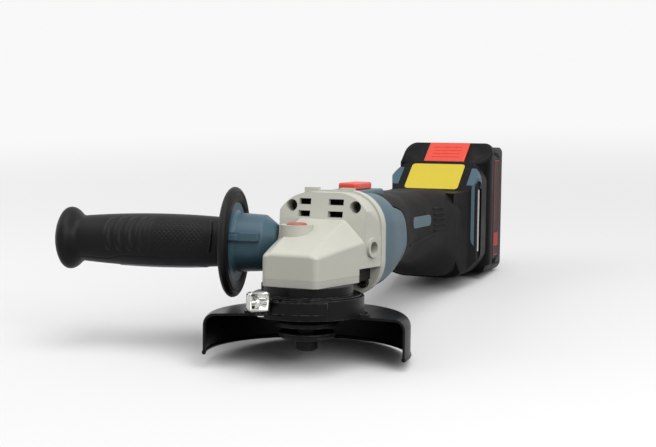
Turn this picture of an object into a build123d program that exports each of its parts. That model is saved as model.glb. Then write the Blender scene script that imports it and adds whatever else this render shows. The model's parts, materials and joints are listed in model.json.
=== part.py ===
from build123d import *
import os
from math import atan2, cos, degrees, hypot, pi, radians, sin, tan

# Cordless angle grinder for 115 mm wheels, in millimetres.
# The origin is on the spindle axis at the wheel seat, the lower face of the inner flange.
# +Z runs up the spindle, +Y from the gear head to the battery, and the side handle is screwed in on -X.

# ---------------------------------------------------------------- driving dimensions
# Spindle, flanges and nut
THREAD_R = 7.0            # M14 spindle thread, outside radius
SPINDLE_REACH = 16.0      # spindle end below the wheel seat
PILOT_R = 11.1            # pilot for a 22.2 mm wheel bore
PILOT_LENGTH = 1.8
FLANGE_R = 20.2
FLANGE_THICK = 6.0
NUT_R = 17.75
NUT_THICK = 4.9
SPANNER_HOLE_R = 2.1
WHEEL_THICK = 4.2         # gap between the wheel seat and the nut
SHOULDER_R = 8.6          # spindle shoulder above the inner flange
JOURNAL_R = 6.0           # spindle in its lower bearing and gear
TOP_JOURNAL_R = 4.0       # spindle in its upper bush
RELIEF_WIDE = 0.6         # groove in the thread at the nut's outer face
RELIEF_DEEP = 0.4
THREAD_PLAY = 0.06        # radial room of a thread or a sliding shaft
TOUCH = 0.04              # radial room of a running shaft

# Bearings
LOWER_BEARING_R = 16.0
LOWER_BEARING_WIDTH = 10.0
LOWER_BEARING_Z = 14.5    # lower face of the spindle bearing
FRONT_BEARING_R = 11.0
FRONT_BEARING_WIDTH = 7.0
REAR_BEARING_R = 9.5
REAR_BEARING_WIDTH = 6.0
RACE_THICK = 0.28         # of the space between bore and outside, taken by each race
BALLS = 8
BALL_PLAY = 0.05
BUSH_R = 6.0
BUSH_LENGTH = 5.0

# Gears
MOTOR_Z = 48.6            # height of the rotor axis over the wheel seat
GEAR_TEETH = 35
PINION_TEETH = 10
GEAR_PITCH_R = 20.0
TOOTH_ADDENDUM = 0.75
TOOTH_DEDENDUM = 1.3
TOOTH_FULLNESS = 0.74     # tooth thickness as a part of half the pitch
FACE_WIDTH = 6.0
GEAR_HUB_R = 8.5
GEAR_WEB_LOW = 37.0
GEAR_WEB_TOP = 42.0
LOCK_HOLE_R = 2.35

# Gear case
CASE_FRONT = -28.0        # y of the front face
CASE_NOSE_HALF = 18.5     # half width at the front face
CASE_TAPER = 13.0         # each side spreads by this angle, in degrees
CASE_LOW = 31.0           # joint between the case and its cover
CASE_WALL = 3.0
NOSE_TOP = 46.8           # height of the roof at the front face
NOSE_SIDE_TOP = 45.4      # height of the side walls at the front face
ROOF_FOOT_Y = 22.0        # where the roof meets the vent wall
ROOF_FOOT_Z = 65.3
SIDE_FOOT_Z = 51.7
NOSE_ROOF_HALF = 13.0
FOOT_ROOF_HALF = 16.0
NOSE_ROUND = 4.5
FLANGE_FRONT = 39.5       # motor flange of the case
CASE_BACK = 47.0
CASE_FLANGE_HALF = 34.6
CASE_FLANGE_ROUND = 24.0
HOOD_HALF = 33.6
HOOD_LEAN = 3.6           # the vent wall leans back by this much over its height
CHAMBER_BACK = 21.5
BULKHEAD_BACK = 30.0
FAN_SPACE_R = 28.4
VENT_HIGH = 3.9
VENT_LEVELS = (76.2, 68.4)
VENT_COLUMNS = ((-17.0, -8.8), (3.6, 14.0))
VENT_ROOM_HALF = 17.6     # hollow behind the vents
VENT_ROOM_FRONT = 27.5
VENT_ROOM_LOW = 64.5
VENT_ROOM_TOP = 79.2
BUMP_RISE = 1.4           # how far the two pads stand over the flange
BUMP_HALF = 4.5
BUMP_PLACES = (-16.0, 9.0)
WAIST_HALF = 27.0         # half width of case and cover low down in front of the flange
WAIST_FRONT = 16.0
WAIST_TOP = 35.0
EDGE_ROUND = 3.0          # rounded edges of roof and shoulders
CASE_SCREW_X = 22.2
CASE_SCREW_RISE = 24.8
SCREW_POCKET_R = 3.9
CASE_SCREW_R = 2.1
CASE_SCREW_HEAD_R = 3.4
CASE_SCREW_HEAD_LONG = 7.0   # the upper heads stand forward in their pockets
CASE_SCREW_HEAD_SHORT = 1.5

# Cover and guard neck
COVER_SCREW_R = 1.7
COVER_LOW = 26.4
COVER_HUB_R = 20.0
COVER_HUB_LOW = 12.5
NECK_R = 34.0
NECK_TOP_R = 29.0         # narrower part of the neck, over the collar
NECK_LOW = 11.0
NECK_STEP_Z = 20.4
NECK_PLATE_LOW = 17.6
NECK_WALL = 3.0
SEAL_R = 15.0

# Guard and its clamp
GUARD_R = 65.3
GUARD_TOP = 7.2
GUARD_LOW = -17.4
GUARD_STEEL = 1.5
GUARD_SHOULDER = 7.0
GUARD_SPAN = 208.0        # degrees, from +X round the battery side
GUARD_LIP_R = 1.4
GUARD_HOLE_R = 29.0
COLLAR_PLAY = 0.25
COLLAR_STEEL = 1.6
COLLAR_TOP = 19.4
COLLAR_FOOT_R = 40.0
RIVET_R = 1.3
CLAMP_EAR_HALF = 3.4
CLAMP_KNUCKLE_R = 2.9
CLAMP_ANGLE = 252.0       # where the clamp's hinge pin stands round the neck
CLAMP_PIN_R = 1.5
CLAMP_PIN_AT = 41.6       # radius of the pin's place
LEVER_END_ANGLE = 312.0
LEVER_LOW = 11.4
LEVER_TOP = 18.8
LEVER_STEEL = 1.2
LEVER_DEPTH = 3.0
EAR_LOW = 10.4
EAR_TOP = 20.1
BUCKLE_TURN = 25.0        # the buckle is turned back from the radial direction
BUCKLE_NEAR = -2.0        # ends of the buckle along its width, from the pin
BUCKLE_FAR = 11.4
BUCKLE_AT = 4.6           # from the pin to the buckle's back
BUCKLE_DEEP = 4.6
BUCKLE_LOW = 14.0
BUCKLE_TOP = 25.6
BUCKLE_RIM = 1.8

# Spindle lock
LOCK_X = -10.0
LOCK_Y = 5.0
LOCK_CAP_R = 6.4
LOCK_CAP_TOP = 63.6
LOCK_BOSS_R = 10.4
LOCK_BOSS_TOP = 62.4
LOCK_TRAVEL = 3.6
LOCK_PIN_R = 2.0
LOCK_PLAY = 0.2
LOCK_FLOOR_LOW = 51.6
LOCK_FLOOR_TOP = 54.4

# Side handle, measured along its own axis from the face of the threaded boss
HANDLE_X = 33.5
HANDLE_Y = 29.0
HANDLE_Z = 47.6
HANDLE_HOLE_R = 4.0
HANDLE_HOLE_DEEP = 14.0
HANDLE_PAD_R = 6.2
BOSS_WALL = 3.4           # casting round the threaded hole
STUD_REACH = 13.0
STUD_LENGTH = 75.0
HANDLE_BASE_R = 18.6
HANDLE_HUB_R = 19.6
HANDLE_SPOT_R = HANDLE_HUB_R + 0.4
HANDLE_DISC_AT = 28.3
HANDLE_DISC_R = 36.6
HANDLE_DISC_THICK = 5.8
HANDLE_FACE_R = 26.5
HANDLE_CORE_R = 11.0
HUB_TAPER = 6.6            # how far the hub narrows towards the boss
HUB_TAPER_END = 8.6
GRIP_ROOT_R = 16.0
GRIP_BELLY_R = 17.8
GRIP_BELLY_AT = 80.0
GRIP_NECK_R = 15.35
GRIP_NECK_AT = 134.0
GRIP_END_R = 21.0
GRIP_END_AT = 142.3
GRIP_LENGTH = 154.3

# Motor
SHAFT_R = 4.0
REAR_JOURNAL_R = 3.0
SHAFT_FRONT = 21.0
SHAFT_BACK = 97.0
FRONT_BEARING_Y = 22.3
FAN_R = 27.0
FAN_FRONT = 41.0
FAN_DEEP = 9.0
FAN_BLADES = 11
SHROUD_HOLE_R = 20.0
STATOR_R = 24.0
STATOR_BORE_R = 12.2
STATOR_RING = 5.0
STATOR_FRONT = 58.0
STATOR_LENGTH = 24.0
STATOR_TEETH = 6
TOOTH_WIDE = 6.0
COIL_SPREAD = 2.4
COIL_OVERHANG = 3.4
ROTOR_PLAY = 0.5
END_CAP_FRONT = 87.0
END_CAP_R = 22.2
END_CAP_THICK = 2.5

# Motor housing and grip
SKIN = 1.8                # rubber over the housing
WALL = 2.2                # housing wall
GRIP_HALF = 28.0
GRIP_LOW = 27.0
GRIP_TOP = 78.0
SKIN_GAP = 1.2
GRIP_BACK = 243.0         # where the grip ends in the rear block
BLOCK_FRONT = 214.0
BLOCK_WAIST = 242.0
BLOCK_WAIST_HALF = 32.0
BLOCK_SHOULDER = 256.0
BLOCK_HALF = 37.5
BLOCK_LOW = 5.9
BLOCK_TOP = 98.0
BLOCK_ROUND = 17.0        # upper and lower corners of the block
BLOCK_LOW_ROUND = 20.4
SLOPE_FOOT = 242.0
SLOPE_FOOT_Z = 75.4
SLOPE_HEAD = 268.0
HOUSING_BACK = 262.0
BLOCK_BACK = 276.0
TRIM_FRONT = 246.0
TRIM_LOW = 30.0
TRIM_KNEE_Z = 79.0
TRIM_TOP = 96.0
TRIM_RECESS = 1.4
RECESS_Y = 256.0
RECESS_Z = 51.0
RECESS_HIGH = 64.0
RECESS_WIDE = 12.0
STRIP_HIGH = 50.0
STRIP_WIDE = 3.4
PAD_HALF = 12.8
PAD_TOP = 82.4
PAD_BEHIND = 21.0         # switch pad behind the switch's middle
RIB_THICK = 2.0
INSERT_LENGTH = 41.0
INSERT_HIGH = 8.3
INSERT_Y = 141.0
INSERT_Z = 57.3
HOUSING_SCREWS = ((112.0, 36.0), (200.0, 66.0), (200.0, 32.0), (250.0, 22.0), (250.0, 70.0))
SCREW_R = 1.5
SCREW_BOSS_R = 4.2
SCREW_HEAD_R = 2.9
SCREW_HALF = 12.0
SCREW_HEAD_HIGH = 2.4

# Slide switch
SWITCH_Y = 79.0
SWITCH_LENGTH = 30.0
SWITCH_WIDE = 14.0
SWITCH_TOP = 87.0
SWITCH_TRAVEL = 8.0
SWITCH_NECK_HALF = 3.0
SWITCH_NECK_LENGTH = 12.0
LINK_TOP = 75.5
LINK_THICK = 2.0
LINK_LAP = 14.0           # length of the rod over the switch block
SWITCH_BLOCK_FRONT = 102.0
SWITCH_BLOCK_LENGTH = 26.0
SWITCH_BLOCK_HIGH = 18.0
SWITCH_PLAY = 0.3

# Plain panel on the rear slope
LABEL_WIDE = 45.0
LABEL_HIGH = 29.5
LABEL_DOWN = 1.2          # below the middle of the slope
LABEL_THICK = 0.4

# Electronics
CONTROLLER_FRONT = 128.0
CONTROLLER_LENGTH = 56.0
CONTROLLER_HALF = 17.0
CONTROLLER_LOW = 35.0
CONTROLLER_HIGH = 14.0
TERMINAL_HALF = 14.0
TERMINAL_LOW = 40.0
TERMINAL_HIGH = 26.0
BLADE_COUNT = 4
BLADE_PITCH = 6.4
BLADE_THICK = 0.8
BLADE_REACH = 8.0

# Battery
PACK_GAP = 0.4            # between the receiver and the pack
PACK_BACK = 323.0
PACK_HALF = 37.5
PACK_LOW = 5.0
PACK_TOP = 113.0
PACK_WALL = 2.2
PACK_ROUND = 5.0
PACK_SIDE_ROUND = 8.0
PACK_SLOPE_RUN = 20.0
PACK_STEP = 3.5           # the rear half is lower by this much
PACK_SPLIT = 297.0
PACK_SLOPE_Z = 96.5       # where the release slope starts on the front face
CELL_R = 9.1
CELL_LENGTH = 64.6
CELL_COUNT = 5
CELL_PITCH = 18.9
HOLDER_THICK = 3.0
HOLDER_PLAY = 0.1
SOCKET_DEEP = 10.4
RAIL_X = 24.0
RAIL_NECK = 3.0
RAIL_HEAD = 8.0
RAIL_DEEP = 8.0
RAIL_HEAD_DEEP = 3.6
RAIL_LOW = 22.0
RAIL_HIGH = 76.0
RAIL_PLAY = 0.3
BOARD_THICK = 1.6
BOARD_GAP = 2.4           # between the contact socket and the board
LATCH_HALF = 17.4
LATCH_TRAVEL = 3.0
LATCH_PROUD = 1.2
LATCH_SUNK = 3.0
LATCH_PLAY = 0.35
LATCH_MARGIN = 1.6        # slope left free above and below the latch
INLAY_THICK = 0.9
INLAY_FRONT = PACK_SPLIT + 2.0
INLAY_BACK = PACK_BACK - 8.0
INLAY_LOW = 18.0
INLAY_TOP = 100.0
INLAY_PLAY = 0.2

# ---------------------------------------------------------------- derived places
PINION_PITCH_R = GEAR_PITCH_R * PINION_TEETH / GEAR_TEETH
CONE_LENGTH = hypot(GEAR_PITCH_R, PINION_PITCH_R)
TOE_SCALE = 1.0 - FACE_WIDTH / CONE_LENGTH
TAPER = tan(radians(CASE_TAPER))
LOCK_HOLES = round(2 * GEAR_TEETH / PINION_TEETH)
LOCK_AT = hypot(LOCK_X, LOCK_Y)
LOCK_ANGLE = degrees(atan2(LOCK_Y, LOCK_X))
NECK_BORE_R = NECK_R + COLLAR_PLAY
COLLAR_R = NECK_BORE_R + COLLAR_STEEL
NUT_TOP = -WHEEL_THICK
BODY_INSET = SKIN + WALL
PACK_FRONT = BLOCK_BACK + PACK_GAP
PARTS = {}


# ---------------------------------------------------------------- helpers
def zcyl(radius, low, high, x=0.0, y=0.0):
    """Upright cylinder between two heights."""
    return Pos(x, y, (low + high) / 2) * Cylinder(radius, high - low)


def ycyl(radius, front, back, x=0.0, z=MOTOR_Z):
    """Cylinder along Y between two places."""
    return Pos(x, (front + back) / 2, z) * Rot(90, 0, 0) * Cylinder(radius, back - front)


def xcyl(radius, left, right, y, z):
    """Cylinder along X between two places."""
    return Pos((left + right) / 2, y, z) * Rot(0, 90, 0) * Cylinder(radius, right - left)


def brick(x0, x1, y0, y1, z0, z1):
    """Box between two corners."""
    return Pos((x0 + x1) / 2, (y0 + y1) / 2, (z0 + z1) / 2) * Box(x1 - x0, y1 - y0, z1 - z0)


def turned(points):
    """Solid turned about Z from (radius, z) points."""
    return revolve(Plane.XZ * Polygon(*points, align=None), Axis.Z)


def turned_y(points):
    """Solid turned about the rotor axis from (radius, y) points."""
    return Pos(0, 0, MOTOR_Z) * revolve(Polygon(*points, align=None), Axis.Y)


def side_prism(outline, half):
    """Outline in (y, z) extruded to both sides of the middle plane."""
    return extrude(Plane.YZ * outline, half, both=True)


def keep(name, shape):
    """Store a finished sub-part under its node name."""
    PARTS[name] = shape


def group(pieces):
    """Separate solids that share one node."""
    return Compound(children=list(pieces))


def halves(shape):
    """Left and right halves of a shape, split on the middle plane."""
    far = 400.0
    left = shape & brick(-far, 0, -far, far, -far, far)
    right = shape & brick(0, far, -far, far, -far, far)
    return left, right


def ball_bearing(bore, outer, width, balls, place):
    """Outer ring with its balls, and inner ring, of a bearing made on Z from z = 0 and then placed."""
    race = (outer - bore) * RACE_THICK
    middle = (outer + bore) / 2
    ball = (outer - bore) / 2 - race + race * 0.4
    groove = revolve(Pos(middle, 0, width / 2) * (Plane.XZ * Circle(ball + BALL_PLAY)), Axis.Z)
    ring_out = zcyl(outer, 0, width) - zcyl(outer - race, 0, width) - groove
    ring_in = zcyl(bore + race, 0, width) - zcyl(bore, 0, width) - groove
    seat = Pos(middle, 0, width / 2) * Sphere(ball)
    set_of = [Rot(0, 0, 360 * i / balls) * seat for i in range(balls)]
    return group([place * piece for piece in [ring_out] + set_of]), place * ring_in


# ---------------------------------------------------------------- body form
def body_sections():
    """Cross-sections (y, half width, low z, high z, corner radius) of motor housing and grip."""
    flange_low = MOTOR_Z - CASE_FLANGE_HALF
    flange_high = MOTOR_Z + CASE_FLANGE_HALF
    return (
        (CASE_BACK, CASE_FLANGE_HALF - 0.9, flange_low + 0.9, flange_high - 0.9, 23.5),
        (64.0, CASE_FLANGE_HALF - 1.6, flange_low + 2.2, flange_high - 2.2, 23.0),
        (88.0, GRIP_HALF + 3.6, GRIP_LOW - 6.5, GRIP_TOP + 1.8, 22.5),
        (112.0, GRIP_HALF + 0.8, GRIP_LOW - 0.8, GRIP_TOP + 0.4, 21.0),
        (150.0, GRIP_HALF, GRIP_LOW, GRIP_TOP, 20.0),
        (172.0, GRIP_HALF, GRIP_LOW - 3.6, GRIP_TOP - 0.2, 19.5),
        (200.0, GRIP_HALF + 1.2, GRIP_LOW - 12.8, GRIP_TOP - 0.4, 19.0),
        (GRIP_BACK - 13.0, GRIP_HALF + 2.6, BLOCK_LOW + 2.0, GRIP_TOP - 1.8, 18.0),
        (GRIP_BACK, GRIP_HALF + 3.4, BLOCK_LOW + 1.4, GRIP_TOP - 3.2, 18.0),
    )


def grip_form(inset):
    """Smooth form from the gear case to the rear block, drawn in by an inset."""
    faces = []
    for y, half, low, high, corner in body_sections():
        plane = Plane(origin=(0, y, (low + high) / 2), x_dir=(1, 0, 0), z_dir=(0, 1, 0))
        faces.append(plane * RectangleRounded(2 * (half - inset), high - low - 2 * inset, corner - inset))
    return loft(faces)


def block_form(inset):
    """Rear block that carries the battery, drawn in by an inset."""
    back = BLOCK_BACK
    low = BLOCK_LOW + inset
    top = BLOCK_TOP - inset
    half = BLOCK_HALF - inset
    nose = BLOCK_FRONT + inset
    side = Polygon(
        (nose, GRIP_LOW + inset), (nose + 20, low), (back, low), (back, top), (SLOPE_HEAD, top),
        (SLOPE_FOOT + inset * 0.4, SLOPE_FOOT_Z - inset), (nose, GRIP_TOP - 3.4 - inset), align=None,
    )
    waist = BLOCK_WAIST_HALF - inset
    root = GRIP_HALF + 0.6 - inset
    plan = Polygon(
        (half, back), (half, BLOCK_SHOULDER), (waist, BLOCK_WAIST), (root, BLOCK_FRONT - 2),
        (-root, BLOCK_FRONT - 2), (-waist, BLOCK_WAIST), (-half, BLOCK_SHOULDER), (-half, back), align=None,
    )
    bends = [v for v in plan.vertices() if BLOCK_WAIST - 1 < v.Y < BLOCK_SHOULDER + 1]
    plan = fillet(bends, 16.0)
    front = Pos(0, (low + top) / 2) * Rectangle(2 * half, top - low)
    upper = [v for v in front.vertices() if v.Y > (low + top) / 2]
    front = fillet(upper, BLOCK_ROUND - inset)
    lower = [v for v in front.vertices() if v.Y < low + 0.01]
    front = fillet(lower, BLOCK_LOW_ROUND - inset)
    return side_prism(side, half) & extrude(plan, 300, both=True) & extrude(Plane.XZ * front, -back - 10)


def body_form(inset):
    """Whole outer form of housing, grip and rear block, drawn in by an inset."""
    return grip_form(inset) + block_form(inset)


def tongue_outline(grow):
    """Outline of the bare housing at the motor, with its rounded tongue on each side."""
    tongue = Polygon(
        (CASE_BACK - 20, -20), (CASE_BACK - 20, 120), (75, 120), (77, 71), (95, 67.5), (104, 48), (98, 29.5),
        (80, 25.5), (61, 22), (59, -20), align=None,
    )
    for y, z, r in ((95, 67.5, 9.0), (104, 48, 16.0), (98, 29.5, 9.0), (80, 25.5, 8.0)):
        corner = [v for v in tongue.vertices() if abs(v.X - y) < 0.01 and abs(v.Y - z) < 0.01]
        tongue = fillet(corner, r)
    if grow:
        tongue = offset(tongue, grow)
    return tongue


# ---------------------------------------------------------------- gear case
def case_half(y):
    """Half width of the tapered sides at y."""
    return CASE_NOSE_HALF + (y - CASE_FRONT) * TAPER


def case_wedge(inset, front, back, low):
    """Tapered gear case body: upright sides, slanted shoulders and rising roof."""
    faces = []
    for y in (front, back):
        share = (y - CASE_FRONT) / (ROOF_FOOT_Y - CASE_FRONT)
        top = NOSE_TOP + share * (ROOF_FOOT_Z - NOSE_TOP) - inset
        side_top = NOSE_SIDE_TOP + share * (SIDE_FOOT_Z - NOSE_SIDE_TOP) - inset * 0.7
        roof = NOSE_ROOF_HALF + share * (FOOT_ROOF_HALF - NOSE_ROOF_HALF) - inset * 0.5
        half = case_half(y) - inset
        points = (
            (-half, low), (half, low), (half, side_top), (roof, top), (-roof, top), (-half, side_top),
        )
        plane = Plane(origin=(0, y, 0), x_dir=(-1, 0, 0), z_dir=(0, 1, 0))
        faces.append(plane * Polygon(*[(-x, z) for x, z in points], align=None))
    return loft(faces, ruled=True)


def cover_plan(inset, low, high):
    """Plate with the outline of the gear case, up to its flange."""
    front_half = case_half(CASE_FRONT) - inset
    back_half = case_half(FLANGE_FRONT) - inset
    plan = Polygon(
        (-front_half, CASE_FRONT + inset), (front_half, CASE_FRONT + inset), (back_half, FLANGE_FRONT),
        (-back_half, FLANGE_FRONT), align=None,
    )
    corners = [v for v in plan.vertices() if v.Y < 0]
    return Pos(0, 0, low) * extrude(fillet(corners, NOSE_ROUND), high - low)


def flange_block(front, back, half):
    """Rounded square block on the rotor axis."""
    plane = Plane(origin=(0, front, MOTOR_Z), x_dir=(1, 0, 0), z_dir=(0, 1, 0))
    square = plane * RectangleRounded(2 * half, 2 * half, CASE_FLANGE_ROUND)
    return extrude(square, back - front)


def handle_place(side):
    """Frame at the face of a threaded boss, with Z pointing out of the case."""
    out = (side * cos(radians(CASE_TAPER)), -sin(radians(CASE_TAPER)), 0)
    return Plane(origin=(side * HANDLE_X, HANDLE_Y, HANDLE_Z), z_dir=out).location


def case_screw_places():
    """(x, z) of the four long screws in the flange corners."""
    return [(sx * CASE_SCREW_X, MOTOR_Z + sz * CASE_SCREW_RISE) for sx in (-1, 1) for sz in (-1, 1)]


def waist_cuts(wall=0.0):
    """Blocks that narrow case and cover low down on both sides, grown by a wall."""
    half = WAIST_HALF - wall
    front = WAIST_FRONT - wall
    cuts = Part()
    for side in (-1, 1):
        near = side * half
        far = side * 60
        cuts += brick(min(near, far), max(near, far), front, FLANGE_FRONT, COVER_LOW - 1, WAIST_TOP + wall)
    return cuts


def gear_case():
    """Hollow casting with roof, vent hood, threaded bosses and motor flange."""
    body = case_wedge(0, CASE_FRONT, FLANGE_FRONT, CASE_LOW) & cover_plan(0, CASE_LOW, 100)
    upper = [e for e in body.edges() if e.center().Z > NOSE_SIDE_TOP - 0.5 and e.center().Y < FLANGE_FRONT - 1]
    body = fillet(upper, EDGE_ROUND)
    hood = flange_block(ROOF_FOOT_Y - 4, FLANGE_FRONT, HOOD_HALF)
    hood -= brick(-100, 100, 0, 100, -100, CASE_LOW)
    lean = Polygon(
        (ROOF_FOOT_Y - 10, CASE_LOW - 1), (ROOF_FOOT_Y - 2, CASE_LOW - 1), (ROOF_FOOT_Y, ROOF_FOOT_Z),
        (ROOF_FOOT_Y + HOOD_LEAN, MOTOR_Z + HOOD_HALF), (ROOF_FOOT_Y + HOOD_LEAN, 100),
        (ROOF_FOOT_Y - 10, 100), align=None,
    )
    hood = (hood - side_prism(lean, 60)) & cover_plan(0, CASE_LOW, 100)
    body = body + hood + flange_block(FLANGE_FRONT, CASE_BACK, CASE_FLANGE_HALF)
    body += zcyl(LOCK_BOSS_R, LOCK_FLOOR_LOW, LOCK_BOSS_TOP, LOCK_X, LOCK_Y)
    for side in (-1, 1):
        body -= handle_place(side) * Pos(0, 0, 10) * Cylinder(HANDLE_SPOT_R, 20)
        body += handle_place(side) * Pos(0, 0, -4) * Cylinder(HANDLE_PAD_R, 8)
    for bump in BUMP_PLACES:
        bump_top = MOTOR_Z + CASE_FLANGE_HALF + BUMP_RISE
        left = bump - BUMP_HALF
        right = bump + BUMP_HALF
        body += brick(left, right, FLANGE_FRONT + 0.8, CASE_BACK - 1, MOTOR_Z, bump_top)
    body -= waist_cuts()
    chamber = case_wedge(CASE_WALL, CASE_FRONT + CASE_WALL, CHAMBER_BACK, CASE_LOW - 1)
    chamber -= waist_cuts(CASE_WALL)
    chamber -= zcyl(BUSH_R + 2.2, MOTOR_Z - 1.2, 100)
    chamber -= zcyl(LOCK_BOSS_R - 2.2, LOCK_FLOOR_LOW, 100, LOCK_X, LOCK_Y)
    body -= chamber
    body -= ycyl(FRONT_BEARING_R, FRONT_BEARING_Y, FRONT_BEARING_Y + FRONT_BEARING_WIDTH)
    body -= ycyl(PINION_PITCH_R + 2.0, CHAMBER_BACK - 1, FRONT_BEARING_Y)
    space = ycyl(FAN_SPACE_R, BULKHEAD_BACK, CASE_BACK + 1)
    space -= ycyl(FRONT_BEARING_R + 3, BULKHEAD_BACK, BULKHEAD_BACK + 1)
    drill_length = HANDLE_HOLE_DEEP + 2
    for side in (-1, 1):
        boss = Pos(0, 0, -drill_length / 2) * Cylinder(HANDLE_HOLE_R + BOSS_WALL, drill_length)
        space -= handle_place(side) * boss
    body -= space
    body -= ycyl(SHAFT_R + 2, FRONT_BEARING_Y, BULKHEAD_BACK + 2)
    for side in (-1, 1):
        drill = Pos(0, 0, 2 - drill_length / 2) * Cylinder(HANDLE_HOLE_R, drill_length)
        body -= handle_place(side) * drill
    body -= zcyl(BUSH_R, MOTOR_Z - 2, MOTOR_Z - 1.2 + BUSH_LENGTH)
    body -= zcyl(LOCK_CAP_R + LOCK_PLAY, LOCK_FLOOR_TOP, 100, LOCK_X, LOCK_Y)
    body -= zcyl(LOCK_PIN_R + LOCK_PLAY, LOCK_FLOOR_LOW - 1, LOCK_FLOOR_TOP + 1, LOCK_X, LOCK_Y)
    for left, right in VENT_COLUMNS:
        for level in VENT_LEVELS:
            low = level - VENT_HIGH / 2
            body -= brick(left, right, ROOF_FOOT_Y - 4, BULKHEAD_BACK + 1, low, low + VENT_HIGH)
    room_half = VENT_ROOM_HALF
    body -= brick(-room_half, room_half, VENT_ROOM_FRONT, BULKHEAD_BACK + 1, VENT_ROOM_LOW, VENT_ROOM_TOP)
    for x, z in case_screw_places():
        pocket_front = ROOF_FOOT_Y - 8 if z > MOTOR_Z else FLANGE_FRONT - 1
        body -= ycyl(SCREW_POCKET_R, pocket_front, FLANGE_FRONT + 1.5, x, z)
        body -= ycyl(CASE_SCREW_R, FLANGE_FRONT, CASE_BACK + 1, x, z)
    return body


def bearing_cover():
    """Cover ring under the gear case with the spindle bearing's hub."""
    body = cover_plan(0, COVER_LOW, CASE_LOW)
    body -= waist_cuts()
    body += zcyl(COVER_HUB_R, COVER_HUB_LOW, CASE_LOW)
    body -= zcyl(LOWER_BEARING_R, LOWER_BEARING_Z, LOWER_BEARING_Z + LOWER_BEARING_WIDTH)
    body -= zcyl(SEAL_R, COVER_HUB_LOW - 1, LOWER_BEARING_Z)
    body -= zcyl(LOWER_BEARING_R - 2, LOWER_BEARING_Z, CASE_LOW + 1)
    for x, y in cover_screw_places():
        body -= zcyl(COVER_SCREW_R, COVER_LOW - 1, CASE_LOW + 1, x, y)
    for x, z in case_screw_places():
        body -= ycyl(SCREW_POCKET_R, FLANGE_FRONT - 8, FLANGE_FRONT + 1, x, z)
    return body


def cover_screw_places():
    """(x, y) of the screws that hold neck and cover to the case."""
    reach = (COVER_HUB_R + NECK_TOP_R) / 2
    return [(reach * cos(radians(a)), reach * sin(radians(a))) for a in (50, 130, 238, 302)]


def guard_neck():
    """Ring under the cover that the guard's collar turns on."""
    body = zcyl(NECK_R, NECK_LOW, NECK_STEP_Z) + zcyl(NECK_TOP_R, NECK_STEP_Z, COVER_LOW)
    body -= zcyl(NECK_R - NECK_WALL, NECK_LOW - 1, NECK_PLATE_LOW)
    body -= zcyl(COVER_HUB_R + TOUCH, NECK_LOW - 1, COVER_LOW + 1)
    for x, y in cover_screw_places():
        body -= zcyl(COVER_SCREW_R, NECK_LOW, COVER_LOW + 1, x, y)
    return body


def screw_z(radius, low, high, head_r, head_high):
    """Screw with its head below and a socket in the head."""
    screw = zcyl(radius, low, high) + zcyl(head_r, low - head_high, low)
    return screw - Pos(0, 0, low - head_high) * extrude(RegularPolygon(head_r * 0.5, 6), head_high * 0.6)


# ---------------------------------------------------------------- gears
def tooth_shape(half, reach_in, reach_out, length_at, radius_at, tilt_r, tilt_z):
    """Bevel tooth in the XZ plane's +X side, as a pyramid frustum towards the cone apex at the origin."""
    flank = tan(radians(20))
    faces = []
    for scale in (1.0, TOE_SCALE):
        wide = half + reach_in * flank
        narrow = half - reach_out * flank
        corners = []
        for reach, w in ((-reach_in, wide), (reach_out, narrow)):
            for s in (-1, 1):
                corners.append(Vector(
                    scale * (radius_at + reach * tilt_r), scale * s * w, scale * (length_at + reach * tilt_z)))
        a, b, c, d = corners
        faces.append(Face(Wire.make_polygon([a, b, d, c], close=True)))
    return loft(faces, ruled=True)


def bevel_gear():
    """Large gear on the spindle, with lock holes through its web."""
    tilt_r = PINION_PITCH_R / CONE_LENGTH
    tilt_z = GEAR_PITCH_R / CONE_LENGTH
    half = pi * GEAR_PITCH_R / GEAR_TEETH / 2 * TOOTH_FULLNESS
    root = TOOTH_DEDENDUM
    heel = (GEAR_PITCH_R - root * tilt_r, MOTOR_Z - PINION_PITCH_R - root * tilt_z)
    toe = (heel[0] * TOE_SCALE, MOTOR_Z - (MOTOR_Z - heel[1]) * TOE_SCALE)
    body = turned([
        (JOURNAL_R, LOWER_BEARING_Z + LOWER_BEARING_WIDTH),
        (GEAR_HUB_R, LOWER_BEARING_Z + LOWER_BEARING_WIDTH),
        (GEAR_HUB_R, GEAR_WEB_LOW), (heel[0] - 1.0, GEAR_WEB_LOW), (heel[0] + 0.6, heel[1] - 2.2), heel, toe,
        (toe[0] - 0.6, GEAR_WEB_TOP), (JOURNAL_R, GEAR_WEB_TOP),
    ])
    for i in range(LOCK_HOLES):
        angle = radians(LOCK_ANGLE + 360 * i / LOCK_HOLES)
        x = LOCK_AT * cos(angle)
        y = LOCK_AT * sin(angle)
        body -= zcyl(LOCK_HOLE_R, GEAR_WEB_LOW - 1, GEAR_WEB_TOP + 3, x, y)
    tooth = tooth_shape(half, root + 0.25, TOOTH_ADDENDUM, -PINION_PITCH_R, GEAR_PITCH_R, tilt_r, tilt_z)
    for i in range(GEAR_TEETH):
        body += Pos(0, 0, MOTOR_Z) * Rot(0, 0, 90 + 360 * (i + 0.5) / GEAR_TEETH) * tooth
    return body


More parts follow.
